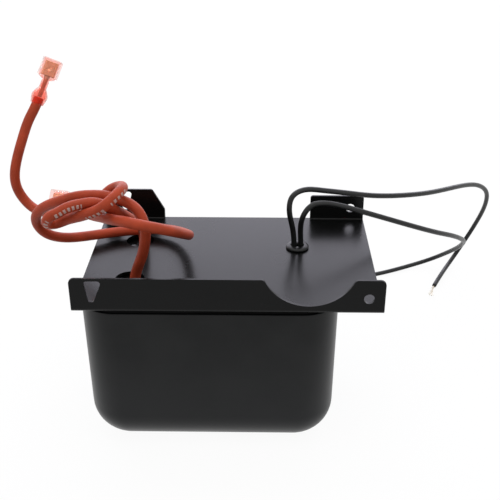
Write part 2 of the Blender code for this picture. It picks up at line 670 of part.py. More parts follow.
def coil_sizes(build):
    """How far the bobbin's tube, its winding and its wrap reach past the leg."""
    tube = GAP + BOBBIN_WALL
    winding = tube + GAP + build
    wrap = winding + GAP + WRAP
    return tube, winding, wrap


def make_coil(parts, cutters, prefix, x, y, length, build, plastic, copper, tape):
    """A rectangular bobbin on a core leg, its winding and the wrap over the winding."""
    tube, winding, wrap = coil_sizes(build)
    where = upright(CAN_X + x, CAN_Y + y, CORE_Z)

    def section(grow, radius=0.0, steps=4):
        return rounded_outline(rectangle(CORE_LEG + 2 * grow, CORE_STACK + 2 * grow, radius), steps)

    mesh = sheet_mesh(prefix + "_bobbin", [section(tube, BOBBIN_WALL, 2)], length - BOBBIN_FLANGE)
    bobbin = place(prefix + "_bobbin", mesh, parts, plastic, where)
    for side, end in (("front", -1), ("rear", 1)):
        name = prefix + "_flange_" + side
        mesh = sheet_mesh(name, [section(wrap, COIL_CORNER)], BOBBIN_FLANGE)
        offset = Matrix.Translation((0.0, end * (length - BOBBIN_FLANGE) / 2, 0.0))
        boolean(bobbin, as_cutter(place(name, mesh, cutters, matrix=offset @ where)), "UNION")
    mesh = sheet_mesh(prefix + "_hole", [section(GAP)], 2 * length)
    boolean(bobbin, as_cutter(place(prefix + "_hole", mesh, cutters, matrix=where)))
    wound = length - 2 * BOBBIN_FLANGE - 2 * GAP
    outlines = [section(winding, COIL_CORNER - WRAP - GAP), section(tube + GAP, BOBBIN_WALL, 2)]
    mesh = sheet_mesh(prefix + "_winding", outlines, wound)
    place(prefix + "_winding", mesh, parts, copper, where)
    outlines = [section(wrap, COIL_CORNER), section(winding + GAP, COIL_CORNER - WRAP)]
    mesh = sheet_mesh(prefix + "_wrap", outlines, wound)
    place(prefix + "_wrap", mesh, parts, tape, where)


def secondary_length():
    return (WINDOW_DEPTH - 3 * GAP) / 2


def make_coils(parts, cutters, plastic, copper, tape):
    make_coil(parts, cutters, "primary", LEG_OFFSET, 0.0, WINDOW_DEPTH - 2 * GAP, PRIMARY_BUILD,
              plastic, copper, tape)
    offset = (secondary_length() + GAP) / 2
    for name, side in (("secondary_front", -1), ("secondary_rear", 1)):
        make_coil(parts, cutters, name, -LEG_OFFSET, side * offset, secondary_length(),
                  SECONDARY_BUILD, plastic, copper, tape)


def lead_start(route):
    return Vector(route[0]) * MM


def splice_foot():
    build = max(PRIMARY_BUILD, SECONDARY_BUILD)
    return CORE_TOP + coil_sizes(build)[2] + GAP


def make_splices(parts, finish):
    """Crimped joints between the coils' ends and the leads, each under its lead."""
    routes = (("hv_splice_front", HV_ROUTE_FRONT, HV_SPLICE),
              ("hv_splice_rear", HV_ROUTE_REAR, HV_SPLICE),
              ("primary_splice_left", PRIMARY_ROUTE_LEFT, PRIMARY_SPLICE),
              ("primary_splice_right", PRIMARY_ROUTE_RIGHT, PRIMARY_SPLICE))
    foot = splice_foot()
    for name, route, diameter in routes:
        start = lead_start(route)
        mesh = cylinder_mesh(name, diameter, SPLICE_TOP - foot, 16)
        where = Matrix.Translation((start.x, start.y, (SPLICE_TOP + foot) / 2))
        place(name, mesh, parts, finish, where, smooth=True)


def strap_outline():
    """Section of the earth strap in YZ: a foot on the core, a riser, a foot under the plate."""
    low = CORE_TOP + GAP
    high = PLATE_UNDER - GAP
    sheet = STRAP_SHEET
    return [(0.0, low), (STRAP_FOOT, low), (STRAP_FOOT, high - sheet),
            (2 * STRAP_FOOT, high - sheet), (2 * STRAP_FOOT, high), (STRAP_FOOT - sheet, high),
            (STRAP_FOOT - sheet, low + sheet), (0.0, low + sheet)]


def strap_y():
    return (CORE_DEPTH - CORE_LEG) / 2 - STRAP_FOOT


def make_strap(parts, finish):
    mesh = sheet_mesh("earth_strap", [strap_outline()], STRAP_WIDTH)
    place("earth_strap", mesh, parts, finish, crosswise(STRAP_X, CAN_Y + strap_y()))


def make_potting(parts, cutters, finish):
    """Filling compound: the can's inside less room for the core, coils, joints and leads."""
    inset = CAN_WALL + GAP
    rings = can_rings(inset, inset, POTTING_TOP, CAN_BOTTOM_RADIUS - inset)
    potting = place("potting_compound", loft_mesh("potting_compound", rings), parts, finish,
                    smooth=True)
    rooms = []
    size = (CORE_WIDTH + 2 * GAP, CORE_DEPTH + 2 * GAP, CORE_STACK + 2 * GAP)
    rooms.append(("room_core", box_mesh("room_core", size), core_centre()))
    for name, x, build in (("room_primary", LEG_OFFSET, PRIMARY_BUILD),
                           ("room_secondary", -LEG_OFFSET, SECONDARY_BUILD)):
        grow = coil_sizes(build)[2] + GAP
        outline = rounded_outline(rectangle(CORE_LEG + 2 * grow, CORE_STACK + 2 * grow,
                                            COIL_CORNER + GAP), 4)
        mesh = sheet_mesh(name, [outline], WINDOW_DEPTH + GAP)
        rooms.append((name, mesh, upright(CAN_X + x, CAN_Y, CORE_Z)))
    for index, (x, y) in enumerate(rivet_places()):
        name = "room_rivet_%d" % (index + 1)
        height = CORE_STACK + 2 * (RIVET_HEAD_HEIGHT + 2 * GAP)
        mesh = cylinder_mesh(name, RIVET_HEAD + 2 * GAP, height, 16)
        rooms.append((name, mesh, core_centre(x, y)))
    foot = splice_foot() - GAP
    top = POTTING_TOP + HV_LEAD
    for name, route, splice, lead in (
            ("room_hv_front", HV_ROUTE_FRONT, HV_SPLICE, HV_LEAD),
            ("room_hv_rear", HV_ROUTE_REAR, HV_SPLICE, HV_LEAD)):
        start = lead_start(route)
        mesh = cylinder_mesh(name, max(lead, splice) + 2 * GAP, top - foot + GAP, 24)
        rooms.append((name, mesh, Matrix.Translation((start.x, start.y, (top + foot) / 2))))
    oval = rounded_outline(rectangle(PRIMARY_PITCH + PRIMARY_SPLICE + 2 * GAP,
                                     PRIMARY_SPLICE + 2 * GAP, PRIMARY_SPLICE / 2), 4)
    mesh = sheet_mesh("room_primary_leads", [oval], top - foot + GAP)
    where = Matrix.Translation((BUSHING_X, BUSHING_Y, (top + foot) / 2))
    rooms.append(("room_primary_leads", mesh, where))
    riser = (STRAP_WIDTH + 2 * GAP, STRAP_SHEET + 2 * GAP, top - CORE_TOP)
    where = Matrix.Translation((STRAP_X, CAN_Y + strap_y() + STRAP_FOOT - STRAP_SHEET / 2,
                                (top + CORE_TOP) / 2))
    rooms.append(("room_strap", box_mesh("room_strap", riser), where))
    foot_room = (STRAP_WIDTH + 2 * GAP, STRAP_FOOT + 2 * GAP, STRAP_SHEET + 3 * GAP)
    where = Matrix.Translation((STRAP_X, CAN_Y + strap_y() + STRAP_FOOT / 2,
                                CORE_TOP + STRAP_SHEET / 2 + GAP))
    rooms.append(("room_strap_foot", box_mesh("room_strap_foot", foot_room), where))
    for name, mesh, where in rooms:
        boolean(potting, as_cutter(place(name, mesh, cutters, matrix=where)))


def sleeve_profile():
    """Outer (radius, height) points of the sleeve's barrel and neck, height from the mouth."""
    mouth, flare, neck = BARREL_MOUTH / 2, BARREL_FLARE / 2, NECK / 2
    start = BARREL_LENGTH + NECK_LENGTH
    return [(neck, start + SLEEVE_WALL), (neck, BARREL_LENGTH),
            (0.75 * flare, 0.8 * BARREL_LENGTH), (flare, 0.55 * BARREL_LENGTH),
            (0.97 * flare, 0.3 * BARREL_LENGTH), (mouth, 0.0)]


def make_sleeve(name, parts, cutters, finish, frame):
    """Insulating sleeve: a flat hollow head, a round neck and a flared barrel."""
    start = BARREL_LENGTH + NECK_LENGTH
    width, shoulder = HEAD_WIDTH, HEAD_SHOULDER
    outline = rounded_outline([
        (-NECK / 2, start - GAP, 0), (NECK / 2, start - GAP, 0),
        (width / 2, start + shoulder, HEAD_CORNER), (width / 2, start + HEAD_LENGTH, 0),
        (-width / 2, start + HEAD_LENGTH, 0), (-width / 2, start + shoulder, HEAD_CORNER)], 3)
    head = place(name, sheet_mesh(name, [outline], HEAD_THICKNESS), parts, finish,
                 frame @ upright())
    profile = [(0.0, start + SLEEVE_WALL)] + sleeve_profile() + [(0.0, 0.0)]
    body = turned(name + "_body", profile, cutters, None, frame, 20)
    boolean(head, as_cutter(body), "UNION")
    inner = (width - 2 * SLEEVE_WALL, HEAD_THICKNESS - 2 * SLEEVE_WALL, HEAD_LENGTH)
    mesh = box_mesh(name + "_room", inner)
    middle = Matrix.Translation((0.0, 0.0, start + shoulder + SLEEVE_WALL + HEAD_LENGTH / 2))
    boolean(head, as_cutter(place(name + "_room", mesh, cutters, matrix=frame @ middle)))
    bore = HV_LEAD + 2 * GAP
    depth = LEAD_INSERTION + GAP
    mesh = cylinder_mesh(name + "_bore", bore, 2 * depth, 20)
    boolean(head, as_cutter(place(name + "_bore", mesh, cutters, matrix=frame)))
    stem = CONTACT_STEM + 2 * GAP
    mesh = cylinder_mesh(name + "_stem", stem, start + HEAD_LENGTH / 2 - depth / 2, 16)
    middle = Matrix.Translation((0.0, 0.0, (start + HEAD_LENGTH / 2 + depth / 2) / 2))
    boolean(head, as_cutter(place(name + "_stem", mesh, cutters, matrix=frame @ middle)))


def make_contact(name, parts, cutters, finish, frame):
    """Push-on contact: a flat floor with two rolled edges, on a crimped stem."""
    start = BARREL_LENGTH + NECK_LENGTH + HEAD_SHOULDER + SLEEVE_WALL + GAP
    length = HEAD_LENGTH - HEAD_SHOULDER - SLEEVE_WALL - 3 * GAP
    half_w, half_t, sheet = CONTACT_WIDTH / 2, CONTACT_THICKNESS / 2, CONTACT_SHEET
    curl = 0.3 * CONTACT_WIDTH
    outline = [(-half_w, half_t), (-half_w, -half_t), (-half_w + curl, -half_t),
               (-half_w + curl, -half_t + sheet), (-half_w + sheet, -half_t + sheet),
               (-half_w + sheet, half_t - sheet), (half_w - sheet, half_t - sheet),
               (half_w - sheet, -half_t + sheet), (half_w - curl, -half_t + sheet),
               (half_w - curl, -half_t), (half_w, -half_t), (half_w, half_t)]
    middle = Matrix.Translation((0.0, 0.0, start + length / 2))
    item = place(name, sheet_mesh(name, [outline], length), parts, finish, frame @ middle)
    stem_low = LEAD_INSERTION + 2 * GAP
    stem_high = start + length / 3
    mesh = cylinder_mesh(name + "_stem", CONTACT_STEM, stem_high - stem_low, 12)
    middle = Matrix.Translation((0.0, 0.0, (stem_high + stem_low) / 2))
    stem = place(name + "_stem", mesh, cutters, matrix=frame @ middle)
    boolean(item, as_cutter(stem), "UNION")


def make_bare_end(name, parts, finish, route):
    """Stripped end of a primary lead: the bundle of strands, drawn thinner at its tip."""
    end, axis = route_end(route)
    shape = bmesh.new()
    bmesh.ops.create_cone(shape, cap_ends=True, segments=10, radius1=BARE_CORE / 2,
                          radius2=BARE_TIP / 2, depth=BARE_LENGTH)
    mesh = bpy.data.meshes.new(name)
    shape.to_mesh(mesh)
    shape.free()
    level = Vector((axis.x, axis.y, 0.0)).normalized()
    centre = end + axis * GAP + level * (BARE_LENGTH / 2)
    turn = Vector((0.0, 0.0, 1.0)).rotation_difference(level).to_matrix().to_4x4()
    place(name, mesh, parts, finish, Matrix.Translation(centre) @ turn, smooth=True)


def make_leads(parts, cutters, silicone, black, sleeve, brass, copper):
    hv = (("front", HV_ROUTE_FRONT), ("rear", HV_ROUTE_REAR))
    for side, route in hv:
        cord("hv_lead_" + side, route, HV_LEAD, 1.05 * HV_LEAD, parts, silicone)
        frame = lead_frame(route, LEAD_INSERTION)
        make_sleeve("terminal_sleeve_" + side, parts, cutters, sleeve, frame)
        make_contact("terminal_contact_" + side, parts, cutters, brass, frame)
    primary = (("left", PRIMARY_ROUTE_LEFT), ("right", PRIMARY_ROUTE_RIGHT))
    for side, route in primary:
        cord("primary_lead_" + side, route, PRIMARY_LEAD, 2.2 * PRIMARY_LEAD, parts, black)
        make_bare_end("bare_strands_" + side, parts, copper, route)


def main():
    clear_scene()
    parts = new_collection("ignition_transformer")
    cutters = new_collection("cutters")
    black_paint = material("black_enamel", (0.012, 0.012, 0.013), 0.22)
    resin = material("black_resin", (0.01, 0.01, 0.01), 0.12)
    rubber = material("black_rubber", (0.02, 0.02, 0.02), 0.5)
    silicone = material("red_silicone", (0.3, 0.06, 0.025), 0.45)
    black_vinyl = material("black_vinyl", (0.025, 0.025, 0.023), 0.4)
    sleeve = material("pink_sleeve", (0.85, 0.25, 0.16), 0.3)
    brass = material("contact_brass", (0.7, 0.45, 0.25), 0.3, 1.0)
    copper = material("copper_strand", (0.75, 0.38, 0.2), 0.35, 1.0)
    enamelled = material("enamelled_wire", (0.4, 0.13, 0.05), 0.4, 0.6)
    steel = material("core_steel", (0.25, 0.26, 0.28), 0.5, 1.0)
    rivet_steel = material("rivet_steel", (0.5, 0.5, 0.52), 0.35, 1.0)
    board = material("insulating_board", (0.45, 0.3, 0.16), 0.8)
    plastic = material("bobbin_plastic", (0.75, 0.72, 0.62), 0.5)
    tape = material("yellow_tape", (0.75, 0.55, 0.12), 0.5)
    crimp = material("tinned_crimp", (0.7, 0.7, 0.7), 0.3, 1.0)
    make_plate(parts, cutters, black_paint)
    make_can(parts, black_paint)
    make_bushing(parts, cutters, rubber)
    make_core(parts, cutters, steel, rivet_steel, board)
    make_coils(parts, cutters, plastic, enamelled, tape)
    make_splices(parts, crimp)
    make_strap(parts, crimp)
    make_potting(parts, cutters, resin)
    make_leads(parts, cutters, silicone, black_vinyl, sleeve, brass, copper)


if __name__ == "__main__":
    main()
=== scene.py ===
"""Dressed scene of a potted ignition transformer, laid out as an add-on.

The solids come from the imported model. This script puts finely shaped pieces over the ones that
show, gives every piece a procedural finish, and sets the floor, the lamps and the camera.
"""
import math

import bmesh
import bpy
import numpy as np
from bpy.props import FloatProperty, FloatVectorProperty, IntProperty, PointerProperty
from mathutils import Matrix, Vector


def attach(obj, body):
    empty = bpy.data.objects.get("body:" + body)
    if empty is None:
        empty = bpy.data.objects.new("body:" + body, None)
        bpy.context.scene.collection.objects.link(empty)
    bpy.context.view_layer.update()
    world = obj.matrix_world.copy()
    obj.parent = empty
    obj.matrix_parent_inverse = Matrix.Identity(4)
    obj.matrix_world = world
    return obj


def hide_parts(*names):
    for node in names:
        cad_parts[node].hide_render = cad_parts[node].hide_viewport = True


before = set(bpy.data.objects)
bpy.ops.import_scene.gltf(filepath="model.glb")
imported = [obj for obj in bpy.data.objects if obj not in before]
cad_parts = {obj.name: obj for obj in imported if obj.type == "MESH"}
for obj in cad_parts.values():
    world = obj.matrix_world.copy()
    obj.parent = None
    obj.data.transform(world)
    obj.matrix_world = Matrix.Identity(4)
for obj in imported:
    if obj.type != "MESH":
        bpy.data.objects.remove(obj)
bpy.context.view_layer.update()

bl_info = {
    "name": "Ignition transformer dresser",
    "version": (1, 0, 0),
    "blender": (4, 5, 0),
    "location": "3D View > Sidebar > Transformer",
    "description": "Shapes and finishes for a potted ignition transformer and its leads",
    "category": "Object",
}

MM = 0.001
ROOT = "root"

# Sizes repeated from the solids
PLATE_WIDTH = 140.0 * MM
PLATE_DEPTH = 97.0 * MM
SHEET = 1.5 * MM
BEND_RADIUS = 2.2 * MM
PLATE_UNDER = 80.3 * MM
PLATE_TOP = PLATE_UNDER + SHEET
FLANGE_TOP = PLATE_UNDER + 17.3 * MM
FLANGE_CORNER = 2.5 * MM
LEFT_TAB_END = -37.5 * MM
LEFT_TAB_TOP = PLATE_UNDER + 18.1 * MM
LEFT_CHAMFER = 6.4 * MM
LEFT_CHAMFER_FOOT = PLATE_UNDER + 6.5 * MM
RIGHT_TAB_START = 41.3 * MM
RIGHT_TAB_TOP = PLATE_UNDER + 15.0 * MM
TAB_CORNER = 1.5 * MM
ARCH_RADIUS = 22.0 * MM
ARCH_X = 36.4 * MM
ARCH_Z = PLATE_UNDER + 4.0 * MM + ARCH_RADIUS
ARCH_BLEND = 2.2 * MM
REAR_SLOT_X = -58.9 * MM
SLOT_WIDTH = 8.3 * MM
SLOT_BELOW_TOP = 1.3 * MM
SLOT_LENGTH = 10.8 * MM
SLOT_CORNER = 1.4 * MM
SCREW_X = 62.9 * MM
SCREW_Z = PLATE_UNDER + 8.0 * MM
SCREW_BORE = 4.8 * MM
HV_HOLE_X = -47.6 * MM
HV_HOLE_Y = 20.05 * MM
HV_HOLE_BORE = 14.0 * MM
BUSHING_X = 33.3 * MM
BUSHING_Y = 13.0 * MM
BUSHING_BORE = 9.6 * MM
GAP = 0.3 * MM  # clearance between neighbouring pieces
CAN_CENTRE = (-8.9 * MM, -0.5 * MM)
CAN_SIZE = (120.5 * MM, 92.0 * MM, 80.0 * MM)
CAN_WALL = 1.5 * MM
CAN_CORNER = 18.0 * MM
CAN_BOTTOM_RADIUS = 20.0 * MM
CAN_DRAFT = 1.0 * MM
LEAD_INSERTION = 3.4 * MM
SLEEVE_MOUTH = 6.6 * MM
SLEEVE_FLARE = 7.9 * MM
SLEEVE_BARREL = 8.6 * MM
SLEEVE_NECK = 4.0 * MM
NECK_END = SLEEVE_BARREL + 4.4 * MM
SLEEVE_SHOULDER = 1.6 * MM
HEAD_LENGTH = 10.6 * MM
HEAD_WIDTH = 10.0 * MM
HEAD_THICKNESS = 4.4 * MM
SLEEVE_WALL = 0.7 * MM
TERMINAL_FACING = Vector((0.02, -0.84, 0.54))

# Sizes of the scene's own surfaces, finer than the solids or nearer the photograph
SLOT_X = -59.4 * MM
SLOT_FOOT_RADIUS = 1.6 * MM
SLOT_LEAN = -1.3 * MM
EDGE_SHEET = 1.0 * MM  # the plate's upright walls at their top
EDGE_ROUND = 0.4 * MM
SHARP_EDGE = math.radians(32.0)  # edges that turn more than this are rounded
CAN_RIM_TOP = 78.2 * MM
CAN_RIM_ROUND = 0.7 * MM
CAN_CORNER_FADE = 1.12  # the corners would be sharp this far into the bottom's round
CAN_LEAST_CORNER = 1.0 * MM
# set-in bead of painted shade in the gap between the can's rim and the plate
GAP_SHADE_INSET = 0.9 * MM
RING_SPACING = 0.7 * MM  # of the rings along a lead
SEAM_UP = (0.0, 0.31, 0.95)  # side from which a tube's columns are counted
LEAD_ROOM = 2.75 * MM  # half the bore of a sleeve around its lead
STEM_ROOM = 1.25 * MM  # least half bore of a sleeve past its lead
BARE_LENGTH = 10.5 * MM
STRAND_RADIUS = 0.11 * MM
STRAND_LAY = 0.42 * MM  # radius on which the outer strands lie
STRAND_CURL = 3.0 * MM

# Routes of the leads, in millimetres, as in the solids
HV_ROUTE_FRONT = [
    (-45.6, -20.1, 73.3), (-45.6, -20.1, 77), (-43.9, -20.9, 86.4), (-40.7, -23.3, 95.2),
    (-38.3, -24.3, 105.7), (-38.7, -24.5, 113.9), (-41.1, -22.3, 118.1), (-45.2, -19.6, 120.6),
    (-50.8, -16.9, 121.8), (-56.4, -15.6, 122.7), (-62.9, -15.3, 122.9), (-69.5, -14.8, 122.1),
    (-77.5, -13.2, 119.3), (-85.8, -8.5, 114.5), (-92.2, -4.1, 108.5), (-94.4, -0.2, 101.5),
    (-92, 3, 94.7), (-85.4, 7.5, 89.6), (-76.2, 13.3, 87.1), (-65.5, 19.2, 86),
    (-54.2, 23.2, 85.6), (-43, 25, 85.6), (-32.4, 23.3, 86.4), (-25.2, 16, 88.5),
    (-21.1, 3.5, 93.5), (-20.1, -8.6, 99.6), (-21.7, -20.8, 106.4), (-25.2, -29.8, 111.9),
    (-31.2, -35.2, 116), (-37.9, -36.6, 118.1), (-44.9, -34.1, 118.4), (-51.7, -28.3, 116.7),
    (-58, -19.1, 113.4), (-66.9, -3, 107.1), (-74.3, 6.7, 104.3), (-85.1, 14, 101.4),
    (-95.6, 20.7, 97.3), (-103.6, 25.6, 98.1), (-109, 26.8, 104.9), (-110.1, 25.6, 114.5),
    (-108.1, 27.3, 124.2), (-105, 31.3, 133.9), (-102, 35.4, 141.7), (-99.2, 38.1, 146.8),
    (-97.1, 40.6, 151.4)]
HV_ROUTE_REAR = [
    (-45.9, 20, 73.3), (-45.9, 20, 77), (-45.1, 15.6, 88.3), (-44.9, 6, 96.9),
    (-46.3, -6.7, 106.1), (-49.1, -15.4, 113.2), (-52.5, -20.5, 118.2), (-56.2, -23.2, 121.5),
    (-60.7, -24.8, 123.4), (-65.4, -26.1, 123.4), (-69.2, -27.7, 123.2), (-72.5, -29.1, 122.4),
    (-76, -30.4, 120.8), (-78.7, -31, 119.6), (-80.7, -30.3, 117.5), (-81.3, -28.7, 115.2),
    (-80.2, -26.6, 113.6), (-77.7, -24.9, 113.3), (-74.2, -24.6, 114.6), (-70.4, -26, 116.4),
    (-65.4, -28.3, 118.7), (-62.1, -30, 120.5), (-58.4, -31, 122.3), (-54.5, -30.8, 124.8),
    (-51.4, -29.1, 127), (-48.8, -25.5, 128.7), (-47.8, -20.2, 128.8), (-49.4, -15.3, 127.4),
    (-52.7, -11.6, 125.2), (-55.9, -9.3, 122.6), (-58.4, -8.6, 120.1), (-60.7, -8.7, 117.7),
    (-62.5, -8.8, 116), (-64.3, -8.4, 115.1), (-65.9, -7.8, 114.9), (-68.1, -6.8, 114.7)]
PRIMARY_ROUTE_LEFT = [
    (31.6, 13, 73.3), (31.6, 13, 83.3), (30.4, 12.5, 94.2), (28.8, 11.9, 102.8),
    (30, 13.8, 109.4), (35.4, 17.6, 111.6), (44.3, 21.6, 110), (57.5, 27.1, 106.2),
    (69, 32.7, 102.5), (79.9, 39.5, 99.1), (92.7, 49, 95.4), (107.8, 62.7, 90.9),
    (122.4, 78.7, 86.5), (136.3, 95.9, 81.3), (147.9, 110.2, 74.8), (156.1, 121.2, 65.4),
    (158.8, 128.9, 55.3), (158.6, 140.6, 37.7), (153.4, 148.1, 17.7), (147.4, 147.2, 6.4),
    (137.5, 132, 2.5), (128.4, 114, 1.8)]
PRIMARY_ROUTE_RIGHT = [
    (35, 13, 73.3), (35, 13, 83.3), (34.6, 11.9, 92.9), (35.8, 11, 100.8),
    (39.5, 12.3, 105.4), (46.1, 15.3, 105.6), (54.9, 18.5, 102.8), (66.2, 22.8, 97.7),
    (79.1, 28.6, 91.3), (98, 39.3, 81), (112.1, 50.7, 72.2), (123.6, 63.5, 63.9),
    (132.9, 78.8, 54.2), (139.3, 96.7, 42.9), (141.4, 114.9, 30.2), (138.1, 132.5, 16.4),
    (129, 143, 5.4), (111.6, 138.4, 1.9), (92.6, 129.2, 1.8), (76, 122.5, 1.8), (61, 114.5, 1.8)]

# Print on the rear lead: distances from its joint in metres, heights in parts of a turn
DASH_PITCH = 2.0 * MM
DASH_FILLED = 0.55  # part of the pitch that is inked
DASH_HALF_HEIGHT = 0.062
DASH_ROW_STRETCH = (0.1, 0.124)
DASH_ROW_TURNS = (0.39, 0.27)  # height of the row at the stretch's ends
DASH_BLANKS = ((0.0, 0.0805), (0.0935, 0.0965), (0.106, 0.1245), (0.1335, 0.1365), (0.146, 9.0))

# Looks that the settings leave alone
WHITE = (1.0, 1.0, 1.0)
INK = (0.6, 0.5, 0.46)
CHALK = (0.5, 0.17, 0.1)
# painted light from the floor: the colour the can's enamel takes towards its foot
PAINTED_FLOOR_LIGHT = (0.016, 0.017, 0.0185)
# near-black colour of the bead of painted shade in the gap under the plate
GAP_SHADE_BLACK = (0.0012, 0.0012, 0.0012)
BUSHING_BLACK = (0.005, 0.005, 0.005)
BRASS = (0.62, 0.44, 0.3)
# darker than the contact's brass, for the crimp inside the sleeve's neck
DARKER_BRASS = (0.42, 0.31, 0.24)
TINNED_STRAND = (0.62, 0.57, 0.46)
CAN_DULLNESS = 1.3  # roughness of the can over the plate's
PAINTED_LIGHT_AT_FOOT = 0.8  # share of painted floor light in the colour where the can stands
# height at which the painted floor light ends
PAINTED_LIGHT_TOP = 78.0 * MM
SLEEVE_LIP_RING = 46  # number of the ring at a sleeve's lip, counted from its mouth
FLOOR_GLOW = 1.07
FLOOR_GLOW_SHARE = 0.88
FLOOR_REACH = 6.0
REAR_LAMP = (0.86, 0.84, 1.0)
LAMP_TARGET = Vector((0.0, 0.0, 0.08))

# Camera solved from the photograph
CAMERA_PLACE = (14.9 * MM, -374.2 * MM, 283.2 * MM)
CAMERA_RIGHT = (0.99989, 0.01466, 0.0)
CAMERA_UP = (-0.00681, 0.46418, 0.88572)
CAMERA_LENS = 61.68
CAMERA_SENSOR = 36.0


class LeadSizes(bpy.types.PropertyGroup):
    """Diameters and colours of the leads"""
    hv_diameter: FloatProperty(
        name="High-voltage lead", description="Diameter over the silicone",
        default=0.005, min=0.004, max=0.008, unit="LENGTH")
    primary_diameter: FloatProperty(
        name="Primary lead", description="Diameter over the insulation",
        default=0.00275, min=0.002, max=0.004, unit="LENGTH")
    silicone: FloatVectorProperty(
        name="Silicone", description="Colour of the high-voltage leads",
        default=(0.46, 0.066, 0.027), subtype="COLOR")
    vinyl: FloatVectorProperty(
        name="Insulation", description="Colour of the primary leads",
        default=(0.0075, 0.008, 0.008), subtype="COLOR")


class EnamelLook(bpy.types.PropertyGroup):
    """Look of the enamelled sheet metal"""
    plate: FloatVectorProperty(
        name="Plate", description="Colour of the plate's enamel",
        default=(0.0026, 0.0028, 0.0028), subtype="COLOR")
    can: FloatVectorProperty(
        name="Can", description="Colour of the can's enamel",
        default=(0.0014, 0.0019, 0.0021), subtype="COLOR")
    roughness: FloatProperty(
        name="Roughness", description="Blur of the enamel's reflections",
        default=0.25, min=0.0, max=1.0, subtype="FACTOR")


class TerminalLook(bpy.types.PropertyGroup):
    """Look of the insulated terminals"""
    sleeve: FloatVectorProperty(
        name="Sleeve", description="Colour of the translucent sleeves",
        default=(0.98, 0.19, 0.12), subtype="COLOR")
    strands: IntProperty(
        name="Strands", description="Bare strands at the end of a primary lead",
        default=10, min=5, max=24)


class StageLook(bpy.types.PropertyGroup):
    """Floor and lamps"""
    floor: FloatVectorProperty(
        name="Floor", description="Colour of the floor",
        default=(0.45, 0.45, 0.45), subtype="COLOR")
    sky: FloatProperty(
        name="Surroundings", description="Light from all round",
        default=0.36, min=0.0, max=2.0)
    key: FloatProperty(
        name="Top lamp", description="Power of the soft box overhead, in watts",
        default=9.0, min=0.0, max=100.0)
    rear: FloatProperty(
        name="Rear lamp", description="Power of the soft box behind, in watts",
        default=24.5, min=0.0, max=100.0)


def grid_faces(rows, columns, close_rows=False, first=0, lengths=None):
    """Quads of a grid closed around, a face on each open end, and the UV of the quads' corners.

    Points count from first. U is the length along, or else the row's number, V the part of a turn.
    """
    row = np.arange(rows if close_rows else rows - 1)[:, None, None] + (0, 0, 1, 1)
    column = np.arange(columns)[None, :, None] + (0, 1, 1, 0)
    faces = (row % rows * columns + column % columns + first).reshape(-1, 4).tolist()
    if not close_rows:
        last = first + (rows - 1) * columns
        faces += [list(range(first, first + columns))[::-1], list(range(last, last + columns))]
    along = np.arange(rows) if lengths is None else lengths
    along = np.append(along, along[-1])[row]
    uv = np.stack(np.broadcast_arrays(along, column / columns), axis=-1)
    return faces, uv.reshape(-1, 2)


def new_piece(name, verts, faces, finish, uv=()):
    """Smooth object from arrays, at the origin; a cap's corners get no UV of their own."""
    mesh = bpy.data.meshes.new(name)
    mesh.from_pydata(np.asarray(verts).tolist(), [], faces)
    if len(uv):
        every = np.zeros((len(mesh.loops), 2))
        every[:len(uv)] = uv
        mesh.uv_layers.new(name="UVMap").data.foreach_set("uv", every.ravel())
    mesh.shade_smooth()
    if finish is not None:
        mesh.materials.append(finish)
    piece = bpy.data.objects.new(name, mesh)
    bpy.context.scene.collection.objects.link(piece)
    return piece


def skin(name, grid, finish=None, close_rows=False, lengths=None):
    """Closed surface through a (rows, columns, 3) grid, facing out; open rows get flat ends."""
    rows, columns = grid.shape[:2]
    faces, uv = grid_faces(rows, columns, close_rows, lengths=lengths)
    return facing_out(new_piece(name, grid.reshape(-1, 3), faces, finish, uv))


def smooth_curve(route, steps=24):
    """Natural cubic spline through the route: curvature runs evenly along each span."""
    points = np.array(route, dtype=float) * MM
    spans = np.linalg.norm(np.diff(points, axis=0), axis=1)
    system = np.diag(np.concatenate(([1.0], 2 * (spans[:-1] + spans[1:]), [1.0])))
    system += np.diag(np.append(spans[:-1], 0.0), -1) + np.diag(np.append(0.0, spans[1:]), 1)
    known = np.zeros_like(points)
    known[1:-1] = 6 * np.diff(np.diff(points, axis=0) / spans[:, None], axis=0)
    bend = np.linalg.solve(system, known)
    span = spans[:, None, None]
    ahead = span * (np.arange(steps) / steps)[None, :, None]
    back = span - ahead
    start, end = points[:-1, None], points[1:, None]
    first, last = bend[:-1, None], bend[1:, None]
    curve = (first * back ** 3 / (6 * span) + last * ahead ** 3 / (6 * span)
             + (start / span - first * span / 6) * back + (end / span - last * span / 6) * ahead)
    return np.vstack([curve.reshape(-1, 3), points[-1:]])


def path_lengths(path):
    """Distance along a path at each of its points."""
    return np.concatenate(([0.0], np.cumsum(np.linalg.norm(np.diff(path, axis=0), axis=1))))


def even_points(curve, spacing):
    """Points at an even distance along a finely sampled curve."""
    along = path_lengths(curve)
    wanted = np.linspace(0, along[-1], max(2, round(along[-1] / spacing) + 1))
    return np.stack([np.interp(wanted, along, curve[:, axis]) for axis in range(3)], axis=1)


def unit(vectors):
    """Vectors brought to a length of 1."""
    return vectors / np.linalg.norm(vectors, axis=-1, keepdims=True)


def carried_frames(path):
    """Side vectors along a path, each the one before turned by the path's own bend and no more."""
    ahead = unit(np.gradient(path, axis=0))
    sides = [unit(np.cross(ahead[0], SEAM_UP))]
    for direction in ahead[1:]:
        sides.append(unit(sides[-1] - direction * np.dot(sides[-1], direction)))
    sides = np.array(sides)
    return sides, np.cross(ahead, sides)


def tube_grid(path, radii, columns):
    """Circle of radius radii[i] carried along the path, square to it at every point."""
    across, upward = carried_frames(path)
    turn = (2 * np.pi * np.arange(columns) / columns)[:, None]
    ring = np.cos(turn) * across[:, None] + np.sin(turn) * upward[:, None]
    return path[:, None] + radii[:, None, None] * ring


def arc(centre_x, centre_y, radius, start, end, steps):
    """Circle's arc: centre plus radius times cosine and sine, angles in degrees."""
    angle = np.radians(np.linspace(start, end, steps + 1))
    return np.stack([centre_x + radius * np.cos(angle), centre_y + radius * np.sin(angle)], axis=1)


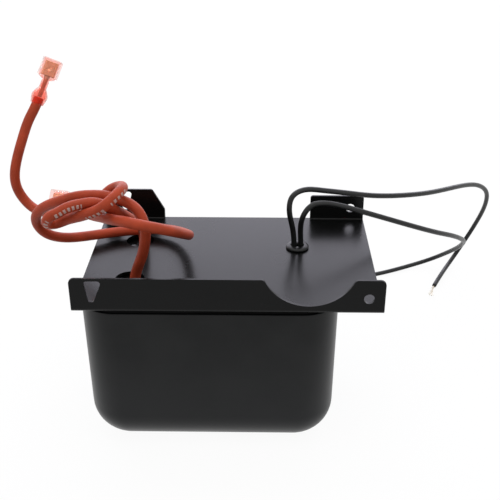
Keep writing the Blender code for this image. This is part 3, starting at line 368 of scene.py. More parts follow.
def rounded(corners, steps=8):
    """Closed outline through (x, y, radius) corners, each rounded by a tangent arc."""
    points = []
    for index, (x, y, radius) in enumerate(corners):
        here = np.array((x, y))
        if radius <= 0:
            points.append(here[None])
            continue
        before = unit(np.array(corners[index - 1][:2]) - here)
        after = unit(np.array(corners[(index + 1) % len(corners)][:2]) - here)
        half = math.acos(np.clip(np.dot(before, after), -1, 1)) / 2
        middle = here + unit(before + after) * radius / math.sin(half)
        first = here + before * radius / math.tan(half) - middle
        last = here + after * radius / math.tan(half) - middle
        start = math.degrees(math.atan2(first[1], first[0]))
        turn = math.atan2(first[0] * last[1] - first[1] * last[0], np.dot(first, last))
        points.append(arc(*middle, radius, start, start + math.degrees(turn), steps))
    return np.vstack(points)


def prism(outline, low, high, axis, name="cutter", finish=None):
    """Flat outline carried straight along one axis, from low to high, with flat ends."""
    ends = np.empty((2, len(outline), 3))
    ends[:, :, [other for other in range(3) if other != axis]] = outline
    ends[:, :, axis] = [[low], [high]]
    return skin(name, ends, finish)


def at_height(outline, z):
    """XY outline as a ring of points at one height."""
    return np.column_stack([outline, np.full(len(outline), z)])


def facing_out(piece):
    """Normals of a closed mesh turned outwards."""
    shape = bmesh.new()
    shape.from_mesh(piece.data)
    bmesh.ops.recalc_face_normals(shape, faces=shape.faces)
    shape.to_mesh(piece.data)
    shape.free()
    return piece


def settle(piece):
    """Applies the piece's modifiers to its mesh."""
    bpy.context.view_layer.update()
    depsgraph = bpy.context.evaluated_depsgraph_get()
    mesh = bpy.data.meshes.new_from_object(piece.evaluated_get(depsgraph),
                                           preserve_all_data_layers=True, depsgraph=depsgraph)
    old = piece.data
    piece.modifiers.clear()
    piece.data = mesh
    mesh.name = piece.name
    bpy.data.meshes.remove(old)


def cut(piece, cutters):
    """Takes the cutters out of the piece, one after another, and throws them away."""
    for cutter in cutters:
        step = piece.modifiers.new("Cut " + cutter.name, "BOOLEAN")
        step.operation = "DIFFERENCE"
        step.solver = "EXACT"
        step.object = cutter
    settle(piece)
    for cutter in cutters:
        bpy.data.meshes.remove(cutter.data)


def soften_edges(piece):
    """Narrow rounds on every sharp edge, with flats that stay flat."""
    bevel = piece.modifiers.new("Rounded edges", "BEVEL")
    bevel.width = EDGE_ROUND
    bevel.segments = 3
    bevel.limit_method = "ANGLE"
    bevel.angle_limit = SHARP_EDGE
    bevel.miter_outer = "MITER_ARC"
    even = piece.modifiers.new("Even shading", "WEIGHTED_NORMAL")
    even.keep_sharp = True
    piece.data.shade_smooth()
    settle(piece)


class Nodes:
    """The node tree of a material or the world, with short calls for what its looks share."""

    def __init__(self, owner):
        owner.use_nodes = True
        self.tree = owner.node_tree

    def give(self, socket, value):
        """Links another socket to this one, or sets a number or a colour on it."""
        if isinstance(value, bpy.types.NodeSocket):
            self.tree.links.new(value, socket)
        else:
            socket.default_value = (*value, 1.0) if socket.type == "RGBA" else value

    def node(self, kind, *inputs, out=0, **named):
        """An output of a new node, whose inputs come in order or by name, its settings by name."""
        made = self.tree.nodes.new("ShaderNode" + kind)
        for socket, value in zip(made.inputs, inputs):
            self.give(socket, value)
        for key, value in named.items():
            if hasattr(made, key):
                setattr(made, key, value)
            else:
                self.give(made.inputs[key.replace("_", " ")], value)
        return made.outputs[out]

    def math(self, operation, *values):
        return self.node("Math", *values, operation=operation)

    def seen_directly(self):
        """1 for rays that show the stage itself: from the camera, a reflection or a clear piece."""
        path = self.tree.nodes.new("ShaderNodeLightPath").outputs
        shown = self.math("MAXIMUM", path["Is Camera Ray"], path["Is Glossy Ray"])
        return self.math("MAXIMUM", shown, path["Is Transmission Ray"])


class Finish(Nodes):
    """A material, with short calls for the patterns that the finishes share."""

    def __init__(self, name):
        self.material = bpy.data.materials.new(name)
        super().__init__(self.material)
        self.shader = self.tree.nodes["Principled BSDF"]

    def place(self, space="Object"):
        return self.node("TexCoord", out=space)

    def part(self, axis, where):
        """X, Y or Z of a place."""
        return self.node("SeparateXYZ", where, out=axis)

    def noise(self, where, scale, detail=3.0):
        return self.node("TexNoise", Vector=where, Scale=scale, Detail=detail)

    def spread(self, value, low, high, from_low=0.3, from_high=0.7):
        """Value stretched from one range to another."""
        return self.node("MapRange", value, from_low, from_high, low, high)

    def mixed(self, share, first, second):
        """The first colour, or the second where the share is 1."""
        made = self.tree.nodes.new("ShaderNodeMix")
        made.data_type = "RGBA"
        for index, value in ((0, share), (6, first), (7, second)):
            self.give(made.inputs[index], value)
        return made.outputs[2]

    def bump(self, height, strength, distance):
        self.set(Normal=self.node("Bump", Height=height, Strength=strength, Distance=distance))

    def set(self, **values):
        for key, value in values.items():
            self.give(self.shader.inputs[key.replace("_", " ")], value)


def tint(colour, gain, lift=0.0):
    """Colour times a gain plus a lift, held at 1."""
    return tuple(min(1.0, part * gain + lift) for part in colour)


def enamel_finish(name, colour, roughness, shine, haze):
    """Baked black enamel: a faint orange peel, a gloss that varies with handling, cloudy haze.

    Painted light from the pale floor lightens it towards the foot: its share falls evenly with
    height, to none at the top.
    """
    made = Finish(name)
    where = made.place()
    specks = made.spread(made.noise(where, 900.0, 2.0), 0.0, 1.0, 0.55, 0.75)
    clouds = made.spread(made.noise(where, 42.0, 5.0), 0.0, 1.0, 0.38, 0.62)
    base = made.mixed(specks, colour, tint(colour, 1.4, 0.001))
    base = made.mixed(clouds, base, tint(colour, 1.0, haze))
    # painted light from the floor: the enamel is lighter towards the foot
    floor_lit_share = made.spread(made.part("Z", where), PAINTED_LIGHT_AT_FOOT, 0.0, 0.0, PAINTED_LIGHT_TOP)
    made.set(Base_Color=made.mixed(floor_lit_share, base, PAINTED_FLOOR_LIGHT),
             Roughness=made.spread(made.noise(where, 26.0, 4.0), roughness * 0.9, roughness * 1.15),
             IOR=1.5, Specular_IOR_Level=shine)
    made.bump(made.noise(where, 420.0, 1.0), 0.04, 0.0004)
    return made.material


def resin_finish(name):
    """Poured resin: one black, with a gloss and a surface that wander."""
    made = Finish(name)
    where = made.place()
    made.set(Base_Color=(0.008, 0.008, 0.008),
             Roughness=made.spread(made.noise(where, 60.0), 0.08, 0.25))
    made.bump(made.noise(where, 90.0, 2.0), 0.3, 0.001)
    return made.material


def mottled_finish(name, colours, grain, gloss, gloss_grain, relief, relief_grain,
                   depth=0.0002, detail=3.0, **fixed):
    """Two close colours in clouds, a roughness that wanders between two values, a fine relief."""
    made = Finish(name)
    where = made.place()
    made.set(Base_Color=made.mixed(made.noise(where, grain, detail), *colours),
             Roughness=made.spread(made.noise(where, gloss_grain), *gloss), **fixed)
    made.bump(made.noise(where, relief_grain, 2.0), relief, depth)
    return made.material


def rubber_finish(name, colour, roughness, shine):
    """Rubber: a dull skin with a very fine grain."""
    return mottled_finish(name, (colour, tint(colour, 1.6)), grain=350.0,
                          gloss=(roughness * 0.85, roughness * 1.15), gloss_grain=120.0,
                          relief=0.12, relief_grain=1500.0, Specular_IOR_Level=shine)


def vinyl_finish(name, colour):
    """Wire insulation: smooth, with a soft gloss."""
    return mottled_finish(name, (colour, tint(colour, 1.3, 0.002)), grain=240.0,
                          gloss=(0.3, 0.4), gloss_grain=300.0, relief=0.05, relief_grain=1200.0,
                          Specular_IOR_Level=0.25)


def metal_finish(name, colour, roughness, grain=600.0):
    """Bare metal, its gloss and relief both tied to one grain."""
    return mottled_finish(name, (tint(colour, 0.78), colour), grain,
                          gloss=(roughness * 0.8, roughness * 1.25), gloss_grain=grain * 0.4,
                          relief=0.1, relief_grain=grain * 2.0, depth=0.0001, Metallic=1.0)


def plastic_finish(name, colour, roughness):
    """Moulded plastic or board."""
    return mottled_finish(name, (tint(colour, 0.85), colour), grain=90.0,
                          gloss=(roughness * 0.9, roughness * 1.1), gloss_grain=200.0,
                          relief=0.1, relief_grain=800.0, detail=4.0)


def banded_finish(name, colour, dark, pitch, axis, roughness, metallic=0.0):
    """Bands square to one axis, a pitch apart: stacked sheets, or turns of wire or tape."""
    made = Finish(name)
    turns = made.math("MULTIPLY", made.part(axis, made.place()), 2 * math.pi / pitch)
    wave = made.math("SINE", turns)
    made.set(Base_Color=made.mixed(made.spread(wave, 0.0, 1.0, -0.9, 0.2), dark, colour),
             Roughness=roughness, Metallic=metallic)
    made.bump(wave, 0.5, pitch * 0.2)
    return made.material


def dashes(made):
    """Plain dashes printed along a lead: 1 where the ink is, from the lead's own UV map.

    U is the distance along it in metres, V the part of a turn. The row runs at a V that drifts
    slowly with U, a dash fills part of each pitch, and the row is broken by blank stretches.
    """
    along, turn = made.part("X", made.place("UV")), made.part("Y", made.place("UV"))
    row = made.spread(along, *DASH_ROW_TURNS, *DASH_ROW_STRETCH)
    off_row = made.math("ABSOLUTE", made.math("SUBTRACT", turn, row))
    inked = made.math("LESS_THAN", off_row, DASH_HALF_HEIGHT)
    step = made.math("FRACT", made.math("MULTIPLY", along, 1 / DASH_PITCH))
    inked = made.math("MULTIPLY", inked, made.math("LESS_THAN", step, DASH_FILLED))
    for start, end in DASH_BLANKS:
        gap = made.math("ABSOLUTE", made.math("SUBTRACT", along, (start + end) / 2))
        blank = made.math("GREATER_THAN", gap, (end - start) / 2)
        inked = made.math("MULTIPLY", inked, blank)
    return inked


def silicone_finish(name, colour, printed=False):
    """Silicone jacket: cloudy colour, a chalky bloom in places, and fine drawing marks along it."""
    made = Finish(name)
    spot = made.place()
    cloud = made.noise(spot, 120.0, 4.0)
    base = made.mixed(made.spread(cloud, 0.0, 1.0, 0.35, 0.65), tint(colour, 0.78), colour)
    chalk = made.spread(made.noise(spot, 900.0, 3.0), 0.0, 0.04, 0.55, 0.8)
    base = made.mixed(chalk, base, CHALK)
    if printed:
        dimmed = made.spread(made.noise(spot, 2200.0, 2.0), 0.45, 0.85, 0.35, 0.6)
        base = made.mixed(made.math("MULTIPLY", dashes(made), dimmed), base, INK)
    made.set(Base_Color=base, Roughness=made.spread(cloud, 0.38, 0.48), Specular_IOR_Level=0.13,
             Sheen_Weight=0.01, Sheen_Roughness=0.35)
    made.bump(made.noise(spot, 1100.0, 2.0), 0.05, 0.0002)
    return made.material


def sleeve_finish(name, colour):
    """Soft clear sleeve: each wall lets part of the light straight through, most of it at the head.

    U of the sleeve's own UV map counts its rings, out to the lip at the head's end and back inside.
    """
    made = Finish(name)
    spot = made.place()
    cloud = made.noise(spot, 260.0)
    ring = made.part("X", made.place("UV"))
    from_end = made.math("ABSOLUTE", made.math("SUBTRACT", ring, SLEEVE_LIP_RING))
    cover = made.spread(from_end, 0.3, 0.6, 12.0, 26.0)
    cover = made.math("MULTIPLY_ADD", made.math("SUBTRACT", cloud, 0.5), 0.1, cover)
    made.set(Base_Color=made.mixed(cloud, colour, tint(colour, 1.05, 0.04)), Alpha=cover,
             Roughness=made.spread(made.noise(spot, 500.0), 0.15, 0.25), Specular_IOR_Level=0.25,
             IOR=1.15, Transmission_Weight=0.9)
    made.bump(made.noise(spot, 420.0, 1.0), 0.03, 0.0002)
    return made.material


def claim(piece, slot_name, *nodes):
    """The piece rides on the body and stands for the nodes, which it hides; its slot name is not
    used.
    """
    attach(piece, ROOT)
    if nodes:
        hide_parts(*nodes)
    return piece


def plate_section():
    """Section of the sheet in YZ: a U with rounded folds, its upright walls thinner at the top."""
    half = PLATE_DEPTH / 2
    inner = BEND_RADIUS - SHEET
    low = PLATE_UNDER + BEND_RADIUS
    front_top = FLANGE_TOP + SHEET
    rear_top = LEFT_TAB_TOP + SHEET
    return np.vstack([
        [(-half, front_top)],
        arc(-half + BEND_RADIUS, low, BEND_RADIUS, 180, 270, 14),
        arc(half - BEND_RADIUS, low, BEND_RADIUS, 270, 360, 14),
        [(half, rear_top), (half - EDGE_SHEET, rear_top)],
        arc(half - BEND_RADIUS, low, inner, 360, 270, 8),
        arc(-half + BEND_RADIUS, low, inner, 270, 180, 8),
        [(-half + EDGE_SHEET, front_top)]])


def above_flange():
    """Everything over the front flange's top edge: its corners, and the arch with blended ends."""
    half, top, corner, blend = PLATE_WIDTH / 2, FLANGE_TOP, FLANGE_CORNER, ARCH_BLEND
    out, over = half + SHEET, top + 4 * SHEET
    drop = ARCH_Z - (top - blend)
    reach = math.sqrt((ARCH_RADIUS + blend) ** 2 - drop ** 2)
    lean = math.degrees(math.asin(drop / (ARCH_RADIUS + blend)))
    return np.vstack([
        [(-out, top - corner)],
        arc(-half + corner, top - corner, corner, 180, 90, 10),
        arc(ARCH_X - reach, top - blend, blend, 90, lean, 8),
        arc(ARCH_X, ARCH_Z, ARCH_RADIUS, 180 + lean, 360 - lean, 56)[1:-1],
        arc(ARCH_X + reach, top - blend, blend, 180 - lean, 90, 8),
        arc(half - corner, top - corner, corner, 90, 0, 10),
        [(out, top - corner), (out, over), (-out, over)]])


def above_tabs():
    """Everything over the rear edge: the left tab with its slanted side, the gap, the right tab."""
    half, left, right, corner = PLATE_WIDTH / 2, LEFT_TAB_TOP, RIGHT_TAB_TOP, TAB_CORNER
    out, over = half + SHEET, left + 4 * SHEET
    right_foot = right - corner * 1.01  # just clear of the corner's round
    return rounded([
        (-out, left - corner, 0), (-half, left - corner, 0), (-half, left, corner),
        (LEFT_TAB_END - LEFT_CHAMFER, left, corner), (LEFT_TAB_END, LEFT_CHAMFER_FOOT, corner),
        (LEFT_TAB_END, PLATE_TOP, 0), (RIGHT_TAB_START, PLATE_TOP, 0),
        (RIGHT_TAB_START, right, corner), (half, right, corner), (half, right_foot, 0),
        (out, right_foot, 0), (out, over, 0), (-out, over, 0)])


def teardrop(x, top, lean):
    """Slot with a square top and sides that run tangent into a round foot, lean off its middle."""
    half, foot_x, foot_z = SLOT_WIDTH / 2, x + lean, top - SLOT_LENGTH + SLOT_FOOT_RADIUS
    touches = []
    for side in (1, -1):
        out, rise = side * half - lean, top - foot_z
        angle = math.atan2(rise, out) - side * math.acos(SLOT_FOOT_RADIUS / math.hypot(out, rise))
        touches.append(math.degrees(angle))
    foot = arc(foot_x, foot_z, SLOT_FOOT_RADIUS, touches[0], touches[1] - 360, 20)
    return rounded([(x - half, top, SLOT_CORNER), (x + half, top, SLOT_CORNER),
                    *((*point, 0) for point in foot)])


def make_plate(finish):
    """Folded sheet: its section carried along X, then cut by its outlines, slots and holes."""
    half, reach = PLATE_DEPTH / 2, 2 * BEND_RADIUS
    plate = prism(plate_section(), -PLATE_WIDTH / 2, PLATE_WIDTH / 2, 0, "mounting_plate_sheet",
                  finish)
    screw = arc(SCREW_X, SCREW_Z, SCREW_BORE / 2, 0, 360, 40)[:-1]
    upright = ((above_flange(), -half), (above_tabs(), half),
               (teardrop(SLOT_X, FLANGE_TOP - SLOT_BELOW_TOP, SLOT_LEAN), -half),
               (teardrop(REAR_SLOT_X, LEFT_TAB_TOP - SLOT_BELOW_TOP, 0.0), half),
               (screw, -half), (screw, half))
    cutters = [prism(outline, y - reach, y + reach, 1) for outline, y in upright]
    for x, y, bore in ((HV_HOLE_X, -HV_HOLE_Y, HV_HOLE_BORE), (HV_HOLE_X, HV_HOLE_Y, HV_HOLE_BORE),
                       (BUSHING_X, BUSHING_Y, BUSHING_BORE)):
        ring = arc(x, y, bore / 2, 0, 360, 64)[:-1]
        cutters.append(prism(ring, PLATE_UNDER - SHEET, PLATE_TOP + SHEET, 2))
    cut(plate, cutters)
    soften_edges(plate)
    return claim(plate, "black_enamel", "mounting_plate")


def can_level(pulled, wall, z):
    """One level of the can: a rounded rectangle, drawn in by pulled, the wall and the draft at z.

    Its corners tighten as it is pulled in over the bottom's round, down to a least radius.
    """
    drawn = pulled + wall + CAN_DRAFT * (CAN_SIZE[2] - z) / CAN_SIZE[2]
    tighter = 1 - pulled / (CAN_CORNER_FADE * (CAN_BOTTOM_RADIUS - wall))
    corner = max((CAN_CORNER - wall) * tighter, CAN_LEAST_CORNER)
    x, y = CAN_SIZE[0] / 2 - drawn - corner, CAN_SIZE[1] / 2 - drawn - corner
    ring = [arc(CAN_CENTRE[0] + right, CAN_CENTRE[1] + back, corner, 90 * turn, 90 * turn + 90, 14)
            for turn, (right, back) in enumerate(((x, y), (-x, y), (-x, -y), (x, -y)))]
    return at_height(np.vstack(ring), z)


def make_can(finish):
    """Drawn cup: its inside from the floor up, over the rolled rim, and down its outside."""
    inner = CAN_BOTTOM_RADIUS - CAN_WALL
    turn = np.radians(np.linspace(0, 90, 19))
    quarter = list(zip(1 - np.cos(turn), 1 - np.sin(turn)))
    inside = [(inner * side, CAN_WALL, CAN_WALL + inner * up) for side, up in quarter[::-1]]
    inside += [(0.0, CAN_WALL, 0.5 * CAN_RIM_TOP), (0.0, CAN_WALL, CAN_RIM_TOP)]
    rim = [(CAN_RIM_ROUND * side, 0.0, CAN_RIM_TOP - CAN_RIM_ROUND * down)
           for side, down in quarter[::-2]]
    outside = [(CAN_BOTTOM_RADIUS * side, 0.0, CAN_BOTTOM_RADIUS * up) for side, up in quarter]
    rings = [can_level(*level) for level in inside + rim + outside]
    return claim(skin("can_shell", np.array(rings), finish), "black_enamel", "can")


def make_gap_shade_bead(finish):
    """Near-black bead of painted shade in the gap over the can's rim: a box section carried round,
    hollowed in front.
    """
    tall, hollow, back = PLATE_UNDER - CAN_RIM_TOP, 0.15 * MM, CAN_WALL - 0.05 * MM
    levels = [(GAP_SHADE_INSET + hollow * math.sin(turn), 0.0, CAN_RIM_TOP + tall * turn / math.pi)
              for turn in np.linspace(0, math.pi, 7)]
    levels += [(back, 0.0, PLATE_UNDER), (back, 0.0, CAN_RIM_TOP)]
    rings = [can_level(*level) for level in levels]
    return claim(skin("rim_gap_shade", np.array(rings), finish, close_rows=True), "black_resin")


def make_bushing(finish):
    """Snap bushing: rings that change from a circle outside to the leads' oval bore inside."""
    collar, body, snap = 5.8 * MM, BUSHING_BORE / 2 - GAP, 5.2 * MM
    seat, top, under, foot = PLATE_TOP + GAP, PLATE_TOP + 1.8 * MM, PLATE_UNDER - GAP, 79.3 * MM
    round_x, round_z = 1.9 * MM, 1.1 * MM
    bore_x, bore_round = 1.7 * MM, 1.66 * MM
    outer = [(body, foot), (snap, under - 0.25 * MM), (snap, under), (body, under + 0.02 * MM),
             (body, seat), (collar - 0.15 * MM, seat), (collar, seat + 0.2 * MM)]
    outer += [(collar - round_x * (1 - math.cos(turn)), top - round_z * (1 - math.sin(turn)))
              for turn in np.radians((0, 18, 36, 54, 72, 90))]
    circle = arc(0, 0, 1, 0, 360, 64)[:-1]
    bore = circle * bore_round
    bore[:, 0] += bore_x * np.clip(circle[:, 0] * 3, -1, 1)
    edge = circle * (collar - round_x)
    rings = [at_height(circle * radius, z) for radius, z in outer]
    rings += [at_height(edge * (1 - share) + bore * share, z)
              for share, z in ((0.5, top), (0.85, top - 0.12 * MM), (1.0, top - 0.5 * MM),
                               (1.0, foot))]
    grid = np.array(rings) + (BUSHING_X, BUSHING_Y, 0.0)
    piece = skin("lead_bushing_collar", grid, finish, close_rows=True)
    return claim(piece, "black_rubber", "lead_bushing")


def make_cord(node, slot_name, route, diameter, finish, columns=28):
    """Round jacket carried along the route, its cut ends slightly rounded."""
    path = even_points(smooth_curve(route), RING_SPACING)
    radii = np.full(len(path), diameter / 2)
    radii[[0, -1]] *= 0.93
    lengths = path_lengths(path)
    piece = skin(node + "_jacket", tube_grid(path, radii, columns), finish, lengths=lengths)
    return claim(piece, slot_name, node), path, round(float(lengths[-1]), 4)


def lead_frame(route):
    """Placement of a terminal: Z runs on from the lead's end, and -Y is its flat side."""
    curve = smooth_curve(route)
    axis = Vector(curve[-1] - curve[-4]).normalized()
    side = axis.cross(-TERMINAL_FACING).normalized()
    turn = Matrix((side, axis.cross(side).normalized(), axis)).transposed().to_4x4()
    return Matrix.Translation(Vector(curve[-1]) - axis * LEAD_INSERTION) @ turn


def moved(grid, matrix):
    """Grid of points put through a placement."""
    return grid @ np.array(matrix.to_3x3()).T + np.array(matrix.translation)


def flat_ring(half_width, half_thickness, power, columns=56):
    """Superellipse: |x/a|^p + |y/b|^p = 1; p is 2 for an oval and larger for a rounded box."""
    turn = 2 * np.pi * (np.arange(columns) + 0.5) / columns
    cos, sin = np.cos(turn), np.sin(turn)
    scale = (np.abs(cos) ** power + np.abs(sin) ** power) ** (-1.0 / power)
    return np.stack([half_width * scale * cos, half_thickness * scale * sin], axis=1)


def make_sleeve(side, place_at, finish):
    """Insulating sleeve: flared barrel, round neck and flat head, as one skin with an inside.

    A station holds height, half width, half thickness and the ring's power. Between stations they
    follow cubic curves that run level at the mouth, along the neck and along the head.
    """
    barrel, head, end = SLEEVE_BARREL, NECK_END + SLEEVE_SHOULDER, NECK_END + HEAD_LENGTH
    mouth, flare, neck = SLEEVE_MOUTH / 2, SLEEVE_FLARE / 2, SLEEVE_NECK / 2
    wide, thick = HEAD_WIDTH / 2, HEAD_THICKNESS / 2
    stations = np.array([
        (0.0, mouth, mouth, 2), (0.3 * barrel, 0.97 * flare, 0.97 * flare, 2),
        (0.55 * barrel, flare, flare, 2), (0.8 * barrel, 0.76 * flare, 0.76 * flare, 2),
        (barrel, neck, neck, 2), (NECK_END - 0.3 * MM, neck, neck, 2),
        (NECK_END + 0.4 * SLEEVE_SHOULDER, 0.72 * wide, 0.85 * thick, 2.6),
        (head, 0.98 * wide, 0.97 * thick, 4.5), (head + 1.0 * MM, wide, thick, 6),
        (end, wide, thick, 6)])
    height, shape = stations[:, 0], stations[:, 1:]
    slope = np.gradient(shape, height, axis=0)
    slope[[0, 4, 5, 8, 9]] = 0.0
    steps = np.linspace(0, len(stations) - 1, SLEEVE_LIP_RING)
    index = np.minimum(steps.astype(int), len(stations) - 2)
    span = (height[index + 1] - height[index])[:, None]
    t = (steps - index)[:, None]
    heights = height[index] + (span * t)[:, 0]
    values = (shape[index] + (shape[index + 1] - shape[index]) * t * t * (3 - 2 * t)
              + span * t * (1 - t) * (slope[index] * (1 - t) - slope[index + 1] * t))
    outer, inner = [], []
    for z, (width, depth, power) in zip(heights, values):
        room = LEAD_ROOM if z < LEAD_INSERTION + 0.5 * MM else STEM_ROOM
        hollow = flat_ring(max(width - SLEEVE_WALL, room), max(depth - SLEEVE_WALL, room), power)
        outer.append(at_height(flat_ring(width, depth, power), z))
        inner.append(at_height(hollow, z))
    lip = at_height(flat_ring(wide - SLEEVE_WALL / 2, thick - SLEEVE_WALL / 2, 6), end + 0.12 * MM)
    grid = np.array(outer + [lip] + inner[::-1])
    piece = skin("sleeve_%s_skin" % side, moved(grid, place_at), finish, close_rows=True)
    return claim(piece, "pink_sleeve", "terminal_sleeve_" + side)


def make_contact(side, place_at, finish):
    """Push-on contact: a strip whose edges roll inwards, carried along the terminal's axis.

    A dimple in the floor's middle stands up as a bell curve of the distance from its centre.
    """
    start, end = NECK_END + SLEEVE_SHOULDER + 0.4 * MM, NECK_END + HEAD_LENGTH - 1.2 * MM
    half, sheet, roll, floor_y = 3.5 * MM, 0.38 * MM, 1.05 * MM, 1.05 * MM
    dimple, dimple_radius = 0.45 * MM, 0.75 * MM
    right = arc(half - roll, floor_y - roll, roll, 90, -165, 16)
    left = arc(-half + roll, floor_y - roll, roll, 345, 90, 16)
    line = np.vstack([left, np.linspace(left[-1], right[0], 24)[1:-1], right])
    ahead = unit(np.gradient(line, axis=0))
    normal = np.stack([-ahead[:, 1], ahead[:, 0]], axis=1)
    outline = np.vstack([line, (line - normal * sheet)[::-1]])
    grid = np.array([at_height(outline, z) for z in np.linspace(start, end, 32)])
    across, along = grid[:, :, 0], grid[:, :, 2] - (start + end) / 2
    on_floor = grid[:, :, 1] > floor_y - 1.2 * sheet
    swell = np.exp(-(across ** 2 + along ** 2) / dimple_radius ** 2)
    grid[:, :, 1] -= dimple * swell * on_floor
    piece = skin("contact_%s_strip" % side, moved(grid, place_at), finish)
    return claim(piece, "contact_brass", "terminal_contact_" + side)


def make_crimp(side, place_at, finish):
    """Crimped barrel behind the contact: an oval tube, pinched in the middle by a bell curve."""
    heights = np.linspace(3.9 * MM, NECK_END + 2.2 * MM, 26)
    t = (heights - heights[0]) / (heights[-1] - heights[0])
    radius = (1.1 - 0.2 * np.exp(-((t - 0.45) / 0.12) ** 2)) * MM
    wide = radius * np.interp(t, (0, 0.8, 1), (1.0, 0.9, 1.5))
    thick = radius * np.interp(t, (0, 0.8, 1), (1.0, 0.9, 0.5))
    grid = np.array([at_height(flat_ring(x, y, 2.2, 28), z)
                     for z, x, y in zip(heights, wide, thick)])
    return claim(skin("crimp_" + side, moved(grid, place_at), finish), "contact_brass")


def make_strands(side, route, count, finish):
    """Bare strands: thin wires twisted round one another, drifting apart towards their ends.

    The drift and the curl towards the front grow with the square of the distance from the jacket.
    """
    curve = smooth_curve(route)
    axis = unit((curve[-1] - curve[-4]) * (1, 1, 0))
    up = np.array((0.0, 0.0, 1.0))
    across = np.cross(axis, up)
    draw = np.random.default_rng(7 if side == "left" else 11)
    along = np.linspace(-1.2 * MM, BARE_LENGTH, 24)
    t = np.clip(along / BARE_LENGTH, 0, 1)
    curl = np.outer(STRAND_CURL * t ** 2, (0.0, -1.0, 0.0))
    verts, faces = [], []
    for strand in range(count):
        lay = 0.0 if strand == 0 else STRAND_LAY
        turn = 2 * np.pi * strand / max(count - 1, 1) + 1.6 * t
        lean = draw.uniform(-1.5, 1.5, 2) * MM
        reach = along * draw.uniform(0.9, 1.04)
        path = (curve[-1] + np.outer(reach, axis)
                + np.outer(lay * np.cos(turn) + lean[0] * t ** 2, across)
                + np.outer(lay * np.sin(turn) + 0.25 * lean[1] * t ** 2, up) + curl)
        grid = tube_grid(path, np.full(len(path), STRAND_RADIUS), 8)
        faces += grid_faces(len(path), 8, first=sum(map(len, verts)))[0]
        verts.append(grid.reshape(-1, 3))
    piece = facing_out(new_piece("strands_" + side, np.vstack(verts), faces, finish))
    return claim(piece, "copper_strand", "bare_strands_" + side)


def make_floor(colour):
    """Pale paper that keeps the shadow, and glows for the rays that show the stage itself."""
    made = Finish("floor_paper")
    fine = made.noise(made.place(), 400.0)
    made.set(Base_Color=made.mixed(fine, tint(colour, 0.985), colour), Roughness=0.9,
             Specular_IOR_Level=0.2)
    paper = made.shader.outputs["BSDF"]
    glowing = made.node("MixShader", FLOOR_GLOW_SHARE, paper,
                        made.node("Emission", Strength=FLOOR_GLOW))
    made.give(made.tree.nodes["Material Output"].inputs["Surface"],
              made.node("MixShader", made.seen_directly(), paper, glowing))
    corners = np.array([(-1, -1, 0), (1, -1, 0), (1, 1, 0), (-1, 1, 0)]) * FLOOR_REACH
    new_piece("floor", corners, [[0, 1, 2, 3]], made.material)


def make_surroundings(level):
    """Even light from all round, seen as plain white by the rays that show the stage itself."""
    world = bpy.data.worlds.new("surroundings")
    bpy.context.scene.world = world
    made = Nodes(world)
    sky = made.tree.nodes["Background"]
    made.give(sky.inputs["Color"], WHITE)
    made.give(sky.inputs["Strength"], level)
    seen = made.node("Background", WHITE, 1.0)
    made.give(made.tree.nodes["World Output"].inputs["Surface"],
              made.node("MixShader", made.seen_directly(), sky.outputs["Background"], seen))


def soft_lamp(name, place_at, size, power, colour=WHITE):
    """Soft box turned towards the middle of the object."""
    data = bpy.data.lights.new(name, "AREA")
    data.shape = "RECTANGLE"
    data.size, data.size_y = size
    data.energy = power
    data.color = colour
    lamp = bpy.data.objects.new(name, data)
    bpy.context.scene.collection.objects.link(lamp)
    lamp.location = place_at
    lamp.rotation_euler = (LAMP_TARGET - lamp.location).to_track_quat("-Z", "Y").to_euler()


def make_lamps(key, rear):
    """Soft boxes overhead, behind, and a quarter as strong at both sides in front."""
    soft_lamp("soft_box_top", (0.0, 0.0, 1.25), (1.4, 1.4), key)
    soft_lamp("soft_box_rear", (0.0, 1.35, 0.85), (2.6, 1.3), rear, REAR_LAMP)
    for name, x in (("soft_box_right", 1.1), ("soft_box_left", -1.1)):
        soft_lamp(name, (x, -0.5, 0.7), (0.8, 0.8), 0.25 * key)


def make_camera():
    """Camera at the place, turn and lens solved from the photograph."""
    data = bpy.data.cameras.new("camera")
    data.lens = CAMERA_LENS
    data.sensor_width = CAMERA_SENSOR
    data.clip_start, data.clip_end = 0.01, 20.0
    camera = bpy.data.objects.new("camera", data)
    bpy.context.scene.collection.objects.link(camera)
    right, up = Vector(CAMERA_RIGHT).normalized(), Vector(CAMERA_UP).normalized()
    turn = Matrix((right, up, right.cross(up))).transposed().to_4x4()
    camera.matrix_world = Matrix.Translation(CAMERA_PLACE) @ turn
    bpy.context.scene.camera = camera
    bpy.context.scene.view_settings.view_transform = "Standard"


class DRESS_OT_plate(bpy.types.Operator):
    """Folded mounting plate with its flange, tabs, arch, slots and holes"""
    bl_idname = "dress.plate"
    bl_label = "Mounting plate"

    def execute(self, context):
        look = context.scene.enamel_look
        make_plate(enamel_finish("plate_enamel", look.plate, look.roughness,
                                 shine=0.152, haze=0.001))
        return {"FINISHED"}


class DRESS_OT_can(bpy.types.Operator):
    """Deep-drawn can and the bead of painted shade on its rim"""
    bl_idname = "dress.can"
    bl_label = "Can"

    def execute(self, context):
        look = context.scene.enamel_look
        make_can(enamel_finish("can_enamel", look.can, look.roughness * CAN_DULLNESS,
                               shine=0.218, haze=0.005))
        # near-black, dull bead: a dark piece that stands in for the shade in the gap between can
        # and plate
        make_gap_shade_bead(rubber_finish("rim_gap_shade_black", GAP_SHADE_BLACK, roughness=0.6, shine=0.06))
        return {"FINISHED"}


class DRESS_OT_bushing(bpy.types.Operator):
    """Bushing of the primary leads"""
    bl_idname = "dress.bushing"
    bl_label = "Bushing"

    def execute(self, context):
        make_bushing(rubber_finish("bushing_rubber", BUSHING_BLACK, roughness=0.34, shine=0.2))
        return {"FINISHED"}


